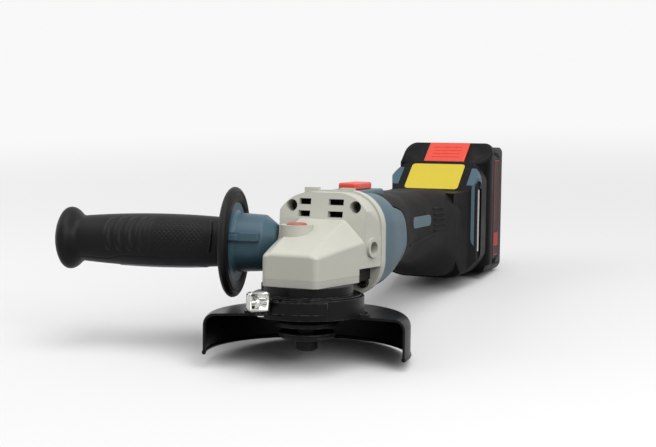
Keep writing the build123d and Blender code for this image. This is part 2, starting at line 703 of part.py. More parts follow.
def pinion():
    """Small gear on the rotor shaft, one tooth down in the large gear's gap."""
    tilt_r = GEAR_PITCH_R / CONE_LENGTH
    tilt_z = -PINION_PITCH_R / CONE_LENGTH
    half = pi * PINION_PITCH_R / PINION_TEETH / 2 * TOOTH_FULLNESS
    root = TOOTH_DEDENDUM
    heel_r = PINION_PITCH_R - root * tilt_r
    heel_l = GEAR_PITCH_R - root * tilt_z
    core = revolve(Plane.XZ * Polygon(
        (0, heel_l * TOE_SCALE), (heel_r * TOE_SCALE, heel_l * TOE_SCALE), (heel_r, heel_l),
        (SHAFT_R - 0.2, heel_l), (SHAFT_R - 0.2, SHAFT_FRONT), (0, SHAFT_FRONT), align=None), Axis.Z)
    tooth = tooth_shape(half, root + 0.25, TOOTH_ADDENDUM, GEAR_PITCH_R, PINION_PITCH_R, tilt_r, tilt_z)
    for i in range(PINION_TEETH):
        core += Rot(0, 0, 90 + 360 * i / PINION_TEETH) * tooth
    return Pos(0, 0, MOTOR_Z) * Rot(-90, 0, 0) * core


# ---------------------------------------------------------------- spindle group
def spindle():
    """Spindle with its thread end, shoulder, journals and top pin."""
    tip = 1.2
    relief_top = NUT_TOP - NUT_THICK
    relief_low = relief_top - RELIEF_WIDE
    shoulder_top = LOWER_BEARING_Z
    return turned([
        (0, -SPINDLE_REACH), (THREAD_R - tip, -SPINDLE_REACH), (THREAD_R, -SPINDLE_REACH + tip),
        (THREAD_R, relief_low), (THREAD_R - RELIEF_DEEP, relief_low), (THREAD_R - RELIEF_DEEP, relief_top),
        (THREAD_R, relief_top), (THREAD_R, FLANGE_THICK), (SHOULDER_R, FLANGE_THICK), (SHOULDER_R, shoulder_top),
        (JOURNAL_R, shoulder_top), (JOURNAL_R, GEAR_WEB_TOP + 0.6), (TOP_JOURNAL_R, GEAR_WEB_TOP + 1.6),
        (TOP_JOURNAL_R, MOTOR_Z - 1.2 + BUSH_LENGTH - 0.4), (0, MOTOR_Z - 1.2 + BUSH_LENGTH - 0.4),
    ])


def inner_flange():
    """Tapered backing flange with the wheel pilot below its seat."""
    return turned([
        (THREAD_R + THREAD_PLAY, -PILOT_LENGTH), (PILOT_R, -PILOT_LENGTH), (PILOT_R, 0), (FLANGE_R, 0),
        (FLANGE_R, FLANGE_THICK * 0.45), (FLANGE_R - 2.4, FLANGE_THICK * 0.9), (FLANGE_R - 7.0, FLANGE_THICK),
        (THREAD_R + THREAD_PLAY, FLANGE_THICK),
    ])


def clamp_nut():
    """Round nut under the wheel with four spanner holes."""
    nut = turned([
        (THREAD_R + THREAD_PLAY, NUT_TOP - NUT_THICK), (NUT_R - 5.6, NUT_TOP - NUT_THICK),
        (NUT_R - 1.6, NUT_TOP - NUT_THICK + 1.1), (NUT_R, NUT_TOP - NUT_THICK + 2.6), (NUT_R, NUT_TOP),
        (THREAD_R + THREAD_PLAY, NUT_TOP),
    ])
    for i in range(4):
        at = (THREAD_R + NUT_R) / 2 + 0.6
        nut -= Rot(0, 0, 45 + 90 * i) * zcyl(SPANNER_HOLE_R, NUT_TOP - NUT_THICK - 1, NUT_TOP - 1.5, at, 0)
    return nut


# ---------------------------------------------------------------- guard group
def sector(start, span, radius, low, high):
    """Upright pie slice."""
    slice_face = Plane.XZ * (Pos(radius / 2, (low + high) / 2) * Rectangle(radius, high - low))
    return Rot(0, 0, start) * revolve(slice_face, Axis.Z, span)


def guard_shell():
    """Pressed wheel guard: top plate, rounded shoulder, skirt and rolled lip over part of the circle."""
    outer = zcyl(GUARD_R, GUARD_LOW, GUARD_TOP)
    outer = fillet(outer.edges().group_by(Axis.Z)[-1], GUARD_SHOULDER)
    inner = zcyl(GUARD_R - GUARD_STEEL, GUARD_LOW - 10, GUARD_TOP - GUARD_STEEL)
    inner = fillet(inner.edges().group_by(Axis.Z)[-1], GUARD_SHOULDER - GUARD_STEEL)
    lip = revolve(Plane.XZ * (Pos(GUARD_R - GUARD_STEEL / 2, GUARD_LOW) * Circle(GUARD_LIP_R)), Axis.Z)
    shell = (outer - inner + lip) & sector(0, GUARD_SPAN, GUARD_R + 10, GUARD_LOW - 10, GUARD_TOP + 1)
    return shell - zcyl(GUARD_HOLE_R, GUARD_LOW - 10, GUARD_TOP + 1)


def guard_collar():
    """Collar band that turns on the neck, with a foot welded on the guard plate."""
    band = zcyl(COLLAR_R, GUARD_TOP, COLLAR_TOP) - zcyl(NECK_BORE_R, GUARD_TOP - 1, COLLAR_TOP + 1)
    foot = zcyl(COLLAR_FOOT_R - 0.6, GUARD_TOP, GUARD_TOP + COLLAR_STEEL)
    foot = (foot - zcyl(NECK_BORE_R, GUARD_TOP - 1, COLLAR_TOP + 1)) & sector(
        0, GUARD_SPAN, COLLAR_FOOT_R + 1, GUARD_TOP, COLLAR_TOP)
    slit = brick(NECK_R - 2, COLLAR_R + 1, -1.2, 1.2, GUARD_TOP + 3, COLLAR_TOP + 1)
    slit = Rot(0, 0, CLAMP_ANGLE + 14) * slit
    return band + foot - slit


def guard_rivets():
    """Spot rivets that hold the collar's foot to the guard plate."""
    rivets = []
    at = (COLLAR_R + COLLAR_FOOT_R - 0.6) / 2
    foot_top = GUARD_TOP + COLLAR_STEEL
    for angle in (15, 60, 104, 148, 193):
        rivets.append(Rot(0, 0, angle) * zcyl(RIVET_R, foot_top, foot_top + 0.7, at, 0))
        under = GUARD_TOP - GUARD_STEEL
        rivets.append(Rot(0, 0, angle) * zcyl(RIVET_R, under - 0.7, under, at, 0))
    return group(rivets)


def clamp_place():
    """Frame at the clamp's hinge pin: X points out from the neck, Y along it, Z up."""
    return Rot(0, 0, CLAMP_ANGLE) * Pos(CLAMP_PIN_AT, 0, 0)


def clamp_bracket():
    """Two ears on the collar that carry the hinge pin."""
    ears = []
    inward = COLLAR_R - CLAMP_PIN_AT
    for low, high in ((EAR_LOW, LEVER_LOW - 0.3), (LEVER_TOP + 0.3, EAR_TOP)):
        tab = brick(inward - 0.2, 0, -CLAMP_EAR_HALF, CLAMP_EAR_HALF, low, high)
        ears.append(tab + zcyl(CLAMP_EAR_HALF, low, high))
    root = brick(inward - 0.6, inward + 1.8, -CLAMP_EAR_HALF, 0.4, EAR_LOW, EAR_TOP)
    body = clamp_place() * (root + ears[0] + ears[1])
    body -= zcyl(COLLAR_R, 0, EAR_TOP + 1)
    return body - clamp_place() * zcyl(CLAMP_PIN_R, EAR_LOW - 1, EAR_TOP + 1)


def clamp_pin():
    """Hinge pin with a head at both ends."""
    head_r = CLAMP_PIN_R + 0.8
    pin = zcyl(CLAMP_PIN_R, EAR_LOW - 0.8, EAR_TOP + 0.8)
    pin += zcyl(head_r, EAR_LOW - 0.8, EAR_LOW) + zcyl(head_r, EAR_TOP, EAR_TOP + 0.8)
    return clamp_place() * pin


def clamp_lever():
    """Curved channel lever that hugs the collar, with its knuckle round the pin."""
    inner = COLLAR_R + 0.5
    outer = inner + LEVER_DEPTH
    channel = zcyl(outer, LEVER_LOW, LEVER_TOP) - zcyl(inner, LEVER_LOW - 1, LEVER_TOP + 1)
    hollow = zcyl(outer - LEVER_STEEL, LEVER_LOW + LEVER_STEEL, LEVER_TOP - LEVER_STEEL)
    hollow -= zcyl(inner - 1, LEVER_LOW - 1, LEVER_TOP + 1)
    start = CLAMP_ANGLE + 3
    reach = sector(start, LEVER_END_ANGLE - start, outer + 5, LEVER_LOW - 1, LEVER_TOP + 1)
    strap = (channel - hollow) & reach
    web = brick(inner - CLAMP_PIN_AT, 0.5, 1.2, 4.6, LEVER_LOW, LEVER_TOP)
    tail = Rot(0, 0, -BUCKLE_TURN) * brick(BUCKLE_NEAR, 2.0, 0, BUCKLE_AT, LEVER_LOW, LEVER_TOP)
    knuckle = clamp_place() * (zcyl(CLAMP_KNUCKLE_R, LEVER_LOW, LEVER_TOP) + web + tail)
    body = strap + knuckle - zcyl(inner, 0, BUCKLE_TOP)
    return body - clamp_place() * zcyl(CLAMP_PIN_R + TOUCH, LEVER_LOW - 1, LEVER_TOP + 1)


def clamp_buckle():
    """Square buckle tray on the lever's root, and the adjusting bolt with its nut inside it."""
    front = BUCKLE_AT + BUCKLE_DEEP
    frame = brick(BUCKLE_NEAR, BUCKLE_FAR, BUCKLE_AT, front, BUCKLE_LOW, BUCKLE_TOP)
    frame = fillet(frame.edges().filter_by(Axis.Y), 2.2)
    left = BUCKLE_NEAR + BUCKLE_RIM
    right = BUCKLE_FAR - BUCKLE_RIM
    low = BUCKLE_LOW + BUCKLE_RIM
    high = BUCKLE_TOP - BUCKLE_RIM
    seat = BUCKLE_AT + 1.4
    frame -= brick(left, right, seat, front + 1, low, high)
    bolt_z = low + 3.2
    bolt = xcyl(1.5, left, right, seat + 1.5, bolt_z)
    nut = Pos(right - 5.2, seat + 1.5, bolt_z) * Rot(0, 90, 0) * extrude(RegularPolygon(3.2, 6), 2.6)
    nut &= brick(left, right, seat, seat + 6, low, high)
    place = clamp_place() * Rot(0, 0, -BUCKLE_TURN)
    return group([place * frame, place * (bolt + nut)])


# ---------------------------------------------------------------- spindle lock
def lock_button():
    """Button cap with the pin that drops into a hole of the large gear."""
    under = LOCK_FLOOR_TOP + LOCK_TRAVEL + 0.5
    cap = zcyl(LOCK_CAP_R, under, LOCK_CAP_TOP)
    cap = fillet(cap.edges().group_by(Axis.Z)[-1], 1.2)
    pin = zcyl(LOCK_PIN_R, GEAR_WEB_TOP + 1.6, under + 0.5)
    return Pos(LOCK_X, LOCK_Y, 0) * (cap + pin)


def lock_spring():
    """Return spring under the button, drawn as its rings."""
    coils = 4
    wire = 0.45
    high = LOCK_TRAVEL + 0.5
    rings = []
    for i in range(coils):
        z = LOCK_FLOOR_TOP + wire + (high - 2 * wire) * i / (coils - 1)
        rings.append(Pos(LOCK_X, LOCK_Y, z) * Torus(LOCK_CAP_R - 2.2, wire))
    post = zcyl(0.3, LOCK_FLOOR_TOP + wire, LOCK_FLOOR_TOP + high - wire, LOCK_CAP_R - 2.2, 0)
    posts = Pos(LOCK_X, LOCK_Y, 0) * post
    body = rings[0] + posts
    for ring in rings[1:]:
        body += ring
    return body


# ---------------------------------------------------------------- side handle
def handle_parts():
    """Stud, core with the hand disc's face, and rubber grip, along +Z from the boss face."""
    stud = Cylinder(HANDLE_HOLE_R - THREAD_PLAY, STUD_LENGTH + STUD_REACH)
    stud = Pos(0, 0, (STUD_LENGTH - STUD_REACH) / 2) * stud
    face_back = HANDLE_DISC_AT + 3.0
    core_end = GRIP_END_AT + 6.0
    core = turned([
        (HANDLE_HOLE_R, 0.3), (HANDLE_BASE_R - HUB_TAPER, 0.3), (HANDLE_BASE_R, HUB_TAPER_END),
        (HANDLE_HUB_R, HANDLE_DISC_AT - 2.0), (HANDLE_HUB_R + 1.6, HANDLE_DISC_AT),
        (HANDLE_FACE_R, HANDLE_DISC_AT), (HANDLE_FACE_R, face_back), (HANDLE_CORE_R, face_back),
        (HANDLE_CORE_R, core_end), (HANDLE_HOLE_R, core_end),
    ])
    core += Pos(0, 0, core_end - 5) * Cylinder(HANDLE_HOLE_R, 10)
    plug = Cylinder(HANDLE_HOLE_R, core_end - STUD_LENGTH)
    core += Pos(0, 0, (core_end + STUD_LENGTH) / 2) * plug
    rim_front = HANDLE_DISC_AT - 0.8
    rim_back = rim_front + HANDLE_DISC_THICK
    neck_end = (GRIP_NECK_R, GRIP_NECK_AT)
    knob = (GRIP_END_R - 1.6, GRIP_END_AT - 1.0)
    cheek = (GRIP_END_R - 2.2, GRIP_END_AT + 6.4)
    tip = (GRIP_END_R * 0.1, GRIP_LENGTH)
    face = Plane.XZ * make_face([
        Polyline(
            (0, core_end), (HANDLE_CORE_R, core_end), (HANDLE_CORE_R, face_back), (HANDLE_FACE_R, face_back),
            (HANDLE_FACE_R, HANDLE_DISC_AT), (HANDLE_FACE_R + 0.8, rim_front), (HANDLE_DISC_R - 2.4, rim_front),
            (HANDLE_DISC_R, rim_front + 2.2), (HANDLE_DISC_R, rim_back - 2.2), (HANDLE_DISC_R - 2.6, rim_back),
            (GRIP_ROOT_R, rim_back),
        ),
        ThreePointArc((GRIP_ROOT_R, rim_back), (GRIP_BELLY_R, GRIP_BELLY_AT), neck_end),
        Line(neck_end, knob),
        ThreePointArc(knob, (GRIP_END_R, GRIP_END_AT + 2.2), cheek),
        ThreePointArc(cheek, (GRIP_END_R * 0.55, GRIP_LENGTH - 1.6), tip),
        Polyline(tip, (0, GRIP_LENGTH), (0, core_end)),
    ])
    grip = revolve(face, Axis.Z)
    place = handle_place(-1)
    return place * stud, place * core, place * grip


# ---------------------------------------------------------------- motor
def rotor_place(front):
    """Place on the rotor axis at y = front, with Z along it."""
    return Pos(0, front, MOTOR_Z) * Rot(-90, 0, 0)


def rotor_shaft():
    """Stepped rotor shaft between its two bearings."""
    return turned_y([
        (0, SHAFT_FRONT), (SHAFT_R, SHAFT_FRONT), (SHAFT_R, END_CAP_FRONT), (REAR_JOURNAL_R, END_CAP_FRONT + 1.5),
        (REAR_JOURNAL_R, SHAFT_BACK), (0, SHAFT_BACK),
    ])


def fan():
    """Cooling fan: hub, back disc and straight blades."""
    body = ycyl(SHAFT_R + 3, FAN_FRONT, FAN_FRONT + FAN_DEEP)
    body += ycyl(FAN_R, FAN_FRONT + FAN_DEEP - 1.4, FAN_FRONT + FAN_DEEP)
    for i in range(FAN_BLADES):
        blade = Pos((FAN_R + SHAFT_R) / 2, 0, FAN_DEEP / 2) * Box(FAN_R - SHAFT_R - 2, 1.2, FAN_DEEP)
        body += rotor_place(FAN_FRONT) * Rot(0, 0, 360 * i / FAN_BLADES) * blade
    return body - ycyl(SHAFT_R, FAN_FRONT - 1, FAN_FRONT + FAN_DEEP + 1)


def fan_shroud():
    """Ring between fan and stator that guides the cooling air."""
    front = FAN_FRONT + FAN_DEEP + 0.8
    ring = ycyl(60, front, front + 1.6) & grip_form(BODY_INSET + 0.05)
    return ring - ycyl(SHROUD_HOLE_R, front - 1, front + 3)


def stator_parts():
    """Laminated stator with its teeth, and one coil round each tooth."""
    back = STATOR_FRONT + STATOR_LENGTH
    ring_in = STATOR_R - STATOR_RING
    core = ycyl(STATOR_R, STATOR_FRONT, back) - ycyl(ring_in, STATOR_FRONT - 1, back + 1)
    coils = []
    for i in range(STATOR_TEETH):
        turn = Rot(0, 0, 360 * (i + 0.5) / STATOR_TEETH)
        tooth = Box(ring_in - STATOR_BORE_R + 1, TOOTH_WIDE, STATOR_LENGTH)
        tooth = Pos((STATOR_BORE_R + ring_in) / 2, 0, STATOR_LENGTH / 2) * tooth
        core += rotor_place(STATOR_FRONT) * turn * tooth
        reach = ring_in - STATOR_BORE_R - 2.4
        wound = Box(reach, TOOTH_WIDE + 2 * COIL_SPREAD, STATOR_LENGTH + 2 * COIL_OVERHANG)
        wound -= Box(reach + 1, TOOTH_WIDE, STATOR_LENGTH)
        wound = turn * Pos(ring_in - 0.6 - reach / 2, 0, STATOR_LENGTH / 2) * wound
        coils.append((rotor_place(STATOR_FRONT) * wound) & ycyl(ring_in, 0, 200))
    core -= ycyl(STATOR_BORE_R, STATOR_FRONT - 1, back + 1)
    return core, group(coils)


def motor_end_cap():
    """Rear bearing holder behind the stator."""
    seat = END_CAP_FRONT + END_CAP_THICK
    cap = ycyl(END_CAP_R, END_CAP_FRONT, seat)
    cap += ycyl(REAR_BEARING_R + 2.4, END_CAP_FRONT, seat + REAR_BEARING_WIDTH)
    cap -= ycyl(REAR_BEARING_R, seat, seat + REAR_BEARING_WIDTH + 1)
    return cap - ycyl(SHAFT_R + 1.5, END_CAP_FRONT - 1, seat + 1)


# ---------------------------------------------------------------- housing, rubber and trims
def receiver_frame():
    """Battery receiver that closes the rear block, with two rail channels."""
    body = block_form(0) - brick(-100, 100, 0, HOUSING_BACK, -100, 200)
    space = block_form(BODY_INSET) & brick(-100, 100, 0, BLOCK_BACK - RAIL_DEEP - 3, -100, 200)
    body -= space
    for side in (-1, 1):
        neck = RAIL_NECK / 2 + RAIL_PLAY
        head = RAIL_HEAD / 2 + RAIL_PLAY
        low = RAIL_LOW - RAIL_PLAY
        y_head = BLOCK_BACK + PACK_GAP - RAIL_DEEP
        x = side * RAIL_X
        body -= brick(x - neck, x + neck, y_head, BLOCK_BACK + 1, low, BLOCK_TOP + 1)
        head_back = y_head + RAIL_HEAD_DEEP + RAIL_PLAY
        body -= brick(x - head, x + head, y_head - RAIL_PLAY, head_back, low, BLOCK_TOP + 1)
    high = TERMINAL_LOW + TERMINAL_HIGH
    return body - brick(-TERMINAL_HALF, TERMINAL_HALF, 0, BLOCK_BACK + 1, TERMINAL_LOW, high)


def trim_zone():
    """Outline in (y, z) of the bare band at the sides of the rear block."""
    zone = Polygon(
        (TRIM_FRONT, TRIM_LOW), (TRIM_FRONT, TRIM_KNEE_Z), (HOUSING_BACK, TRIM_TOP), (400, TRIM_TOP),
        (400, TRIM_LOW), align=None,
    )
    corners = [v for v in zone.vertices() if abs(v.X - TRIM_FRONT) < 0.01]
    return fillet(corners, 8)


def housing_ribs():
    """Ribs inside the housing: round the stator and end cap, and under controller and switch block."""
    ribs = Part()
    for y in (STATOR_FRONT + 3, STATOR_FRONT + STATOR_LENGTH - 5):
        ribs += brick(-100, 100, y, y + RIB_THICK, -100, 200) - ycyl(STATOR_R + TOUCH, 0, 200)
    cap_rib = brick(-100, 100, END_CAP_FRONT, END_CAP_FRONT + END_CAP_THICK, -100, 200)
    ribs += cap_rib - ycyl(END_CAP_R + TOUCH, 0, 200)
    for y in (CONTROLLER_FRONT + 8, CONTROLLER_FRONT + CONTROLLER_LENGTH - 10):
        ribs += brick(-100, 100, y, y + RIB_THICK, -100, CONTROLLER_LOW)
    shelf = LINK_TOP - LINK_THICK - SWITCH_PLAY - SWITCH_BLOCK_HIGH
    for y in (SWITCH_BLOCK_FRONT + 4, SWITCH_BLOCK_FRONT + SWITCH_BLOCK_LENGTH - 6):
        ribs += brick(-100, 100, y, y + RIB_THICK, shelf - 3, shelf)
    for y, z in HOUSING_SCREWS:
        ribs += xcyl(SCREW_BOSS_R, -100, 100, y, z)
    path = SWITCH_NECK_HALF + 2 * SWITCH_PLAY
    ribs -= brick(-path, path, 0, SWITCH_BLOCK_FRONT + 20, LINK_TOP - LINK_THICK - SWITCH_PLAY, 200)
    return ribs


def screw_holes():
    """Holes for the housing screws and the pockets for their heads."""
    holes = Part()
    pockets = Part()
    for y, z in HOUSING_SCREWS:
        holes += xcyl(SCREW_R, -SCREW_HALF, SCREW_HALF, y, z)
        pockets += xcyl(SCREW_HEAD_R + 0.2, -100, -SCREW_HALF, y, z)
    return holes, pockets


def housing_shell(outer, middle, hollow, window):
    """Hard housing: full thickness at the motor, drawn in where rubber covers it."""
    cavity = hollow & brick(-100, 100, CASE_BACK - 1, HOUSING_BACK + 1, -100, 200)
    cavity -= housing_ribs()
    rubber_zone = (outer - middle) - side_prism(tongue_outline(0), 100)
    pad = brick(-PAD_HALF, PAD_HALF, CASE_BACK, SWITCH_Y + PAD_BEHIND, GRIP_TOP - 4, PAD_TOP)
    pad = fillet(pad.edges().filter_by(Axis.Y).group_by(Axis.Z)[-1], 2.0)
    shell = (outer - rubber_zone + pad) & window
    shell -= cavity
    neck_half = SWITCH_NECK_LENGTH / 2 + SWITCH_PLAY
    slot = SWITCH_NECK_HALF + SWITCH_PLAY
    link_low = LINK_TOP - LINK_THICK
    slot_front = SWITCH_Y - neck_half - SWITCH_TRAVEL
    shell -= brick(-slot, slot, slot_front, SWITCH_Y + neck_half, link_low, 120)
    groove_back = SWITCH_BLOCK_FRONT + LINK_LAP + 4
    return shell - brick(-slot, slot, STATOR_FRONT, groove_back, link_low - SWITCH_PLAY, LINK_TOP + SWITCH_PLAY)


def housing_parts():
    """Housing, rubber, trims with the grip's inserts, and strips, cut from one outer form."""
    outer = body_form(0)
    middle = body_form(SKIN)
    window = brick(-100, 100, CASE_BACK, HOUSING_BACK, -100, 200)
    shell = housing_shell(outer, middle, body_form(BODY_INSET), window)
    sides = brick(-100, -GRIP_HALF - 1, 0, 400, -100, 200) + brick(GRIP_HALF + 1, 100, 0, 400, -100, 200)
    band = side_prism(trim_zone(), 100) & sides
    skin = (outer - middle) & window
    slot = Pos(INSERT_Y, INSERT_Z) * SlotOverall(INSERT_LENGTH, INSERT_HIGH)
    slot_in = Pos(INSERT_Y, INSERT_Z) * SlotOverall(INSERT_LENGTH - 0.3, INSERT_HIGH - 0.3)
    rubber = skin - side_prism(tongue_outline(SKIN_GAP), 100) - band - side_prism(slot, 100)
    rubber -= brick(-PAD_HALF - 0.2, PAD_HALF + 0.2, 0, SWITCH_Y + PAD_BEHIND + 0.2, GRIP_TOP - 6, 120)
    inserts = skin & side_prism(slot_in, 100)
    oblong = side_prism(Pos(RECESS_Y, RECESS_Z) * SlotOverall(RECESS_HIGH, RECESS_WIDE, rotation=90), 100)
    floor = brick(-BLOCK_HALF + TRIM_RECESS, BLOCK_HALF - TRIM_RECESS, 0, 400, -100, 200)
    rubber -= oblong - floor
    trims = (skin & band) - oblong
    recess = skin & band & oblong & floor
    strip = Pos(RECESS_Y + 1, RECESS_Z) * SlotOverall(STRIP_HIGH, STRIP_WIDE, rotation=90)
    strips = side_prism(strip, BLOCK_HALF - TRIM_RECESS + 0.6) - floor
    holes, pockets = screw_holes()
    trims = group((trims - pockets).solids() + inserts.solids())
    return shell - holes - pockets, rubber - pockets, recess - pockets, trims, strips


def housing_screws():
    """Screws that pull the housing halves together, heads on -X."""
    screws = []
    for y, z in HOUSING_SCREWS:
        screw = xcyl(SCREW_R, -SCREW_HALF, SCREW_HALF, y, z)
        head = xcyl(SCREW_HEAD_R, -SCREW_HALF - SCREW_HEAD_HIGH, -SCREW_HALF, y, z)
        cross = brick(-SCREW_HALF - 9, -SCREW_HALF - 1, y - 0.4, y + 0.4, z - 1.8, z + 1.8)
        cross += brick(-SCREW_HALF - 9, -SCREW_HALF - 1, y - 1.8, y + 1.8, z - 0.4, z + 0.4)
        screws.append(screw + head - cross)
    return group(screws)


def label_panel():
    """Plain panel on the slope in front of the battery."""
    run = SLOPE_HEAD - SLOPE_FOOT
    rise = BLOCK_TOP - SLOPE_FOOT_Z
    length = hypot(run, rise)
    middle = (0, (SLOPE_HEAD + SLOPE_FOOT) / 2, (BLOCK_TOP + SLOPE_FOOT_Z) / 2)
    plane = Plane(origin=middle, x_dir=(1, 0, 0), z_dir=(0, -rise / length, run / length))
    return plane * Pos(0, -LABEL_DOWN, 0) * extrude(RectangleRounded(LABEL_WIDE, LABEL_HIGH, 3.0), LABEL_THICK)


def slide_switch():
    """Switch cap with its thumb ridges and the neck that goes through the housing."""
    half = SWITCH_WIDE / 2
    cap_front = SWITCH_Y - SWITCH_LENGTH / 2
    cap = brick(-half, half, cap_front, cap_front + SWITCH_LENGTH, PAD_TOP + SWITCH_PLAY, SWITCH_TOP)
    cap = fillet(cap.edges().filter_by(Axis.Z), 3.0)
    cap = fillet(cap.edges().group_by(Axis.Z)[-1], 1.4)
    for i in range(5):
        y = SWITCH_Y - 8 + 4 * i
        cap -= brick(2.5 - half, half - 2.5, y - 0.7, y + 0.7, SWITCH_TOP - 0.7, SWITCH_TOP + 1)
    neck_front = SWITCH_Y - SWITCH_NECK_LENGTH / 2
    neck_back = SWITCH_Y + SWITCH_NECK_LENGTH / 2
    return cap + brick(-SWITCH_NECK_HALF, SWITCH_NECK_HALF, neck_front, neck_back, LINK_TOP, PAD_TOP + 1)


def switch_link():
    """Flat rod from the switch cap back to the switch block."""
    front = SWITCH_Y - SWITCH_NECK_LENGTH / 2
    back = SWITCH_BLOCK_FRONT + LINK_LAP
    return brick(-SWITCH_NECK_HALF, SWITCH_NECK_HALF, front, back, LINK_TOP - LINK_THICK, LINK_TOP)


def switch_block():
    """Electric switch under the end of the link rod."""
    top = LINK_TOP - LINK_THICK - SWITCH_PLAY
    back = SWITCH_BLOCK_FRONT + SWITCH_BLOCK_LENGTH
    body = brick(-8, 8, SWITCH_BLOCK_FRONT, back, top - SWITCH_BLOCK_HIGH, top)
    for x in (-4.5, 4.5):
        body += brick(x - 2.4, x + 2.4, back, back + 6, top - 12, top - 11.2)
    return body


def blade_places():
    """x of each terminal blade."""
    return [(i - (BLADE_COUNT - 1) / 2) * BLADE_PITCH for i in range(BLADE_COUNT)]


def terminal_block():
    """Terminal block in the receiver."""
    high = TERMINAL_LOW + TERMINAL_HIGH
    return brick(-TERMINAL_HALF, TERMINAL_HALF, HOUSING_BACK + 2, BLOCK_BACK, TERMINAL_LOW, high)


def terminal_blades():
    """Upright blades that stand out of the terminal block."""
    low = TERMINAL_LOW + 3
    high = TERMINAL_LOW + TERMINAL_HIGH - 3
    half = BLADE_THICK / 2
    reach = BLOCK_BACK + BLADE_REACH
    return group([brick(x - half, x + half, BLOCK_BACK, reach, low, high) for x in blade_places()])


# ---------------------------------------------------------------- battery
def pack_form(inset):
    """Outer form of the battery pack, with its release slope."""
    low = PACK_LOW + inset
    top = PACK_TOP - inset
    front = PACK_FRONT + inset
    back = PACK_BACK - inset
    rear_top = top - PACK_STEP
    foot_z = PACK_SLOPE_Z - inset * 0.5
    head = PACK_FRONT + PACK_SLOPE_RUN + inset * 0.5
    peak = [(PACK_SPLIT + 1.5, rear_top), (PACK_SPLIT, top), (head, top)]
    if inset:
        peak = [(front + (head - front) * (rear_top - foot_z) / (top - foot_z), rear_top)]
    outline = [(front, low + 3), (front + 3, low), (back, low), (back, rear_top), *peak, (front, foot_z)]
    side = Polygon(*outline, align=None)
    rear = [v for v in side.vertices() if abs(v.X - back) < 0.01]
    side = fillet(rear, PACK_ROUND - inset * 0.8)
    body = side_prism(side, PACK_HALF - inset)
    outline = RectangleRounded(2 * (PACK_HALF - inset), top - low, PACK_SIDE_ROUND - inset)
    outline = Plane.XZ * (Pos(0, (low + top) / 2) * outline)
    return body & extrude(outline, -PACK_BACK - 10)


def latch_plane():
    """Plane on the release slope, Z out of the slope and Y up it."""
    rise = PACK_TOP - PACK_SLOPE_Z
    length = hypot(rise, PACK_SLOPE_RUN)
    middle = (0, PACK_FRONT + PACK_SLOPE_RUN / 2, (PACK_TOP + PACK_SLOPE_Z) / 2)
    return Plane(origin=middle, x_dir=(1, 0, 0), z_dir=(0, -rise / length, PACK_SLOPE_RUN / length))


def battery_latch():
    """Release latch in its pocket on the slope, with grip ridges."""
    length = hypot(PACK_TOP - PACK_SLOPE_Z, PACK_SLOPE_RUN) - LATCH_MARGIN
    thick = LATCH_PROUD + LATCH_SUNK
    latch = Pos(0, 0, LATCH_PROUD - thick / 2) * Box(2 * LATCH_HALF, length, thick)
    latch = fillet(latch.edges().group_by(Axis.Z)[-1], 0.8)
    for i in range(4):
        groove = Box(2 * LATCH_HALF - 10, 1.1, 1.0)
        latch -= Pos(0, length * (0.17 * i - 0.28), LATCH_PROUD) * groove
    return latch_plane() * latch


def battery_case():
    """Front and rear shells of the pack, with rails, latch pocket and contact socket."""
    solid = pack_form(0)
    shell = solid - pack_form(PACK_WALL)
    length = hypot(PACK_TOP - PACK_SLOPE_Z, PACK_SLOPE_RUN) - LATCH_MARGIN
    floor = LATCH_SUNK + LATCH_TRAVEL + 0.4
    tray = Pos(0, 0, -floor / 2 - 0.6) * Box(2 * LATCH_HALF + 4, length + 4, floor + 1.2)
    tray = latch_plane() * tray
    pocket = Pos(0, 0, 10 - floor) * Box(2 * (LATCH_HALF + LATCH_PLAY), length + 2 * LATCH_PLAY, 20)
    pocket = latch_plane() * pocket
    shell += tray & solid
    half = TERMINAL_HALF
    contact_top = TERMINAL_LOW + TERMINAL_HIGH
    socket_back = PACK_FRONT + SOCKET_DEEP
    socket = brick(-half - 2, half + 2, PACK_FRONT, socket_back + 1.6, 0, contact_top + 3)
    shell += socket & solid
    shell -= pocket
    shell -= brick(-half, half, PACK_FRONT - 1, socket_back, 0, contact_top)
    shell -= brick(-half, half, PACK_FRONT - 1, socket_back + 2, TERMINAL_LOW, contact_top)
    front = shell & brick(-100, 100, 0, PACK_SPLIT, -100, 200)
    back = shell & brick(-100, 100, PACK_SPLIT, 400, -100, 200)
    head_front = BLOCK_BACK + PACK_GAP - RAIL_DEEP
    for side in (-1, 1):
        x = side * RAIL_X
        front += brick(x - RAIL_NECK / 2, x + RAIL_NECK / 2, head_front, PACK_FRONT, RAIL_LOW, RAIL_HIGH)
        head_back = head_front + RAIL_HEAD_DEEP
        front += brick(x - RAIL_HEAD / 2, x + RAIL_HEAD / 2, head_front, head_back, RAIL_LOW, RAIL_HIGH)
        left = side * PACK_HALF - INLAY_THICK
        right = side * PACK_HALF + INLAY_THICK
        back -= brick(left, right, INLAY_FRONT, INLAY_BACK, INLAY_LOW, INLAY_TOP)
    return front, back


def battery_inlays():
    """Flat inlays in the pack's sides, flush with the case."""
    inlays = []
    for side in (-1, 1):
        near = side * (PACK_HALF - INLAY_THICK)
        far = side * PACK_HALF
        inlay = brick(min(near, far), max(near, far), INLAY_FRONT + INLAY_PLAY, INLAY_BACK - INLAY_PLAY,
                      INLAY_LOW + INLAY_PLAY, INLAY_TOP - INLAY_PLAY)
        inlays.append(inlay)
    return group(inlays)


def cell_heights():
    """z of each cell's axis."""
    middle = (PACK_LOW + PACK_TOP) / 2
    return [middle + (i - (CELL_COUNT - 1) / 2) * CELL_PITCH for i in range(CELL_COUNT)]


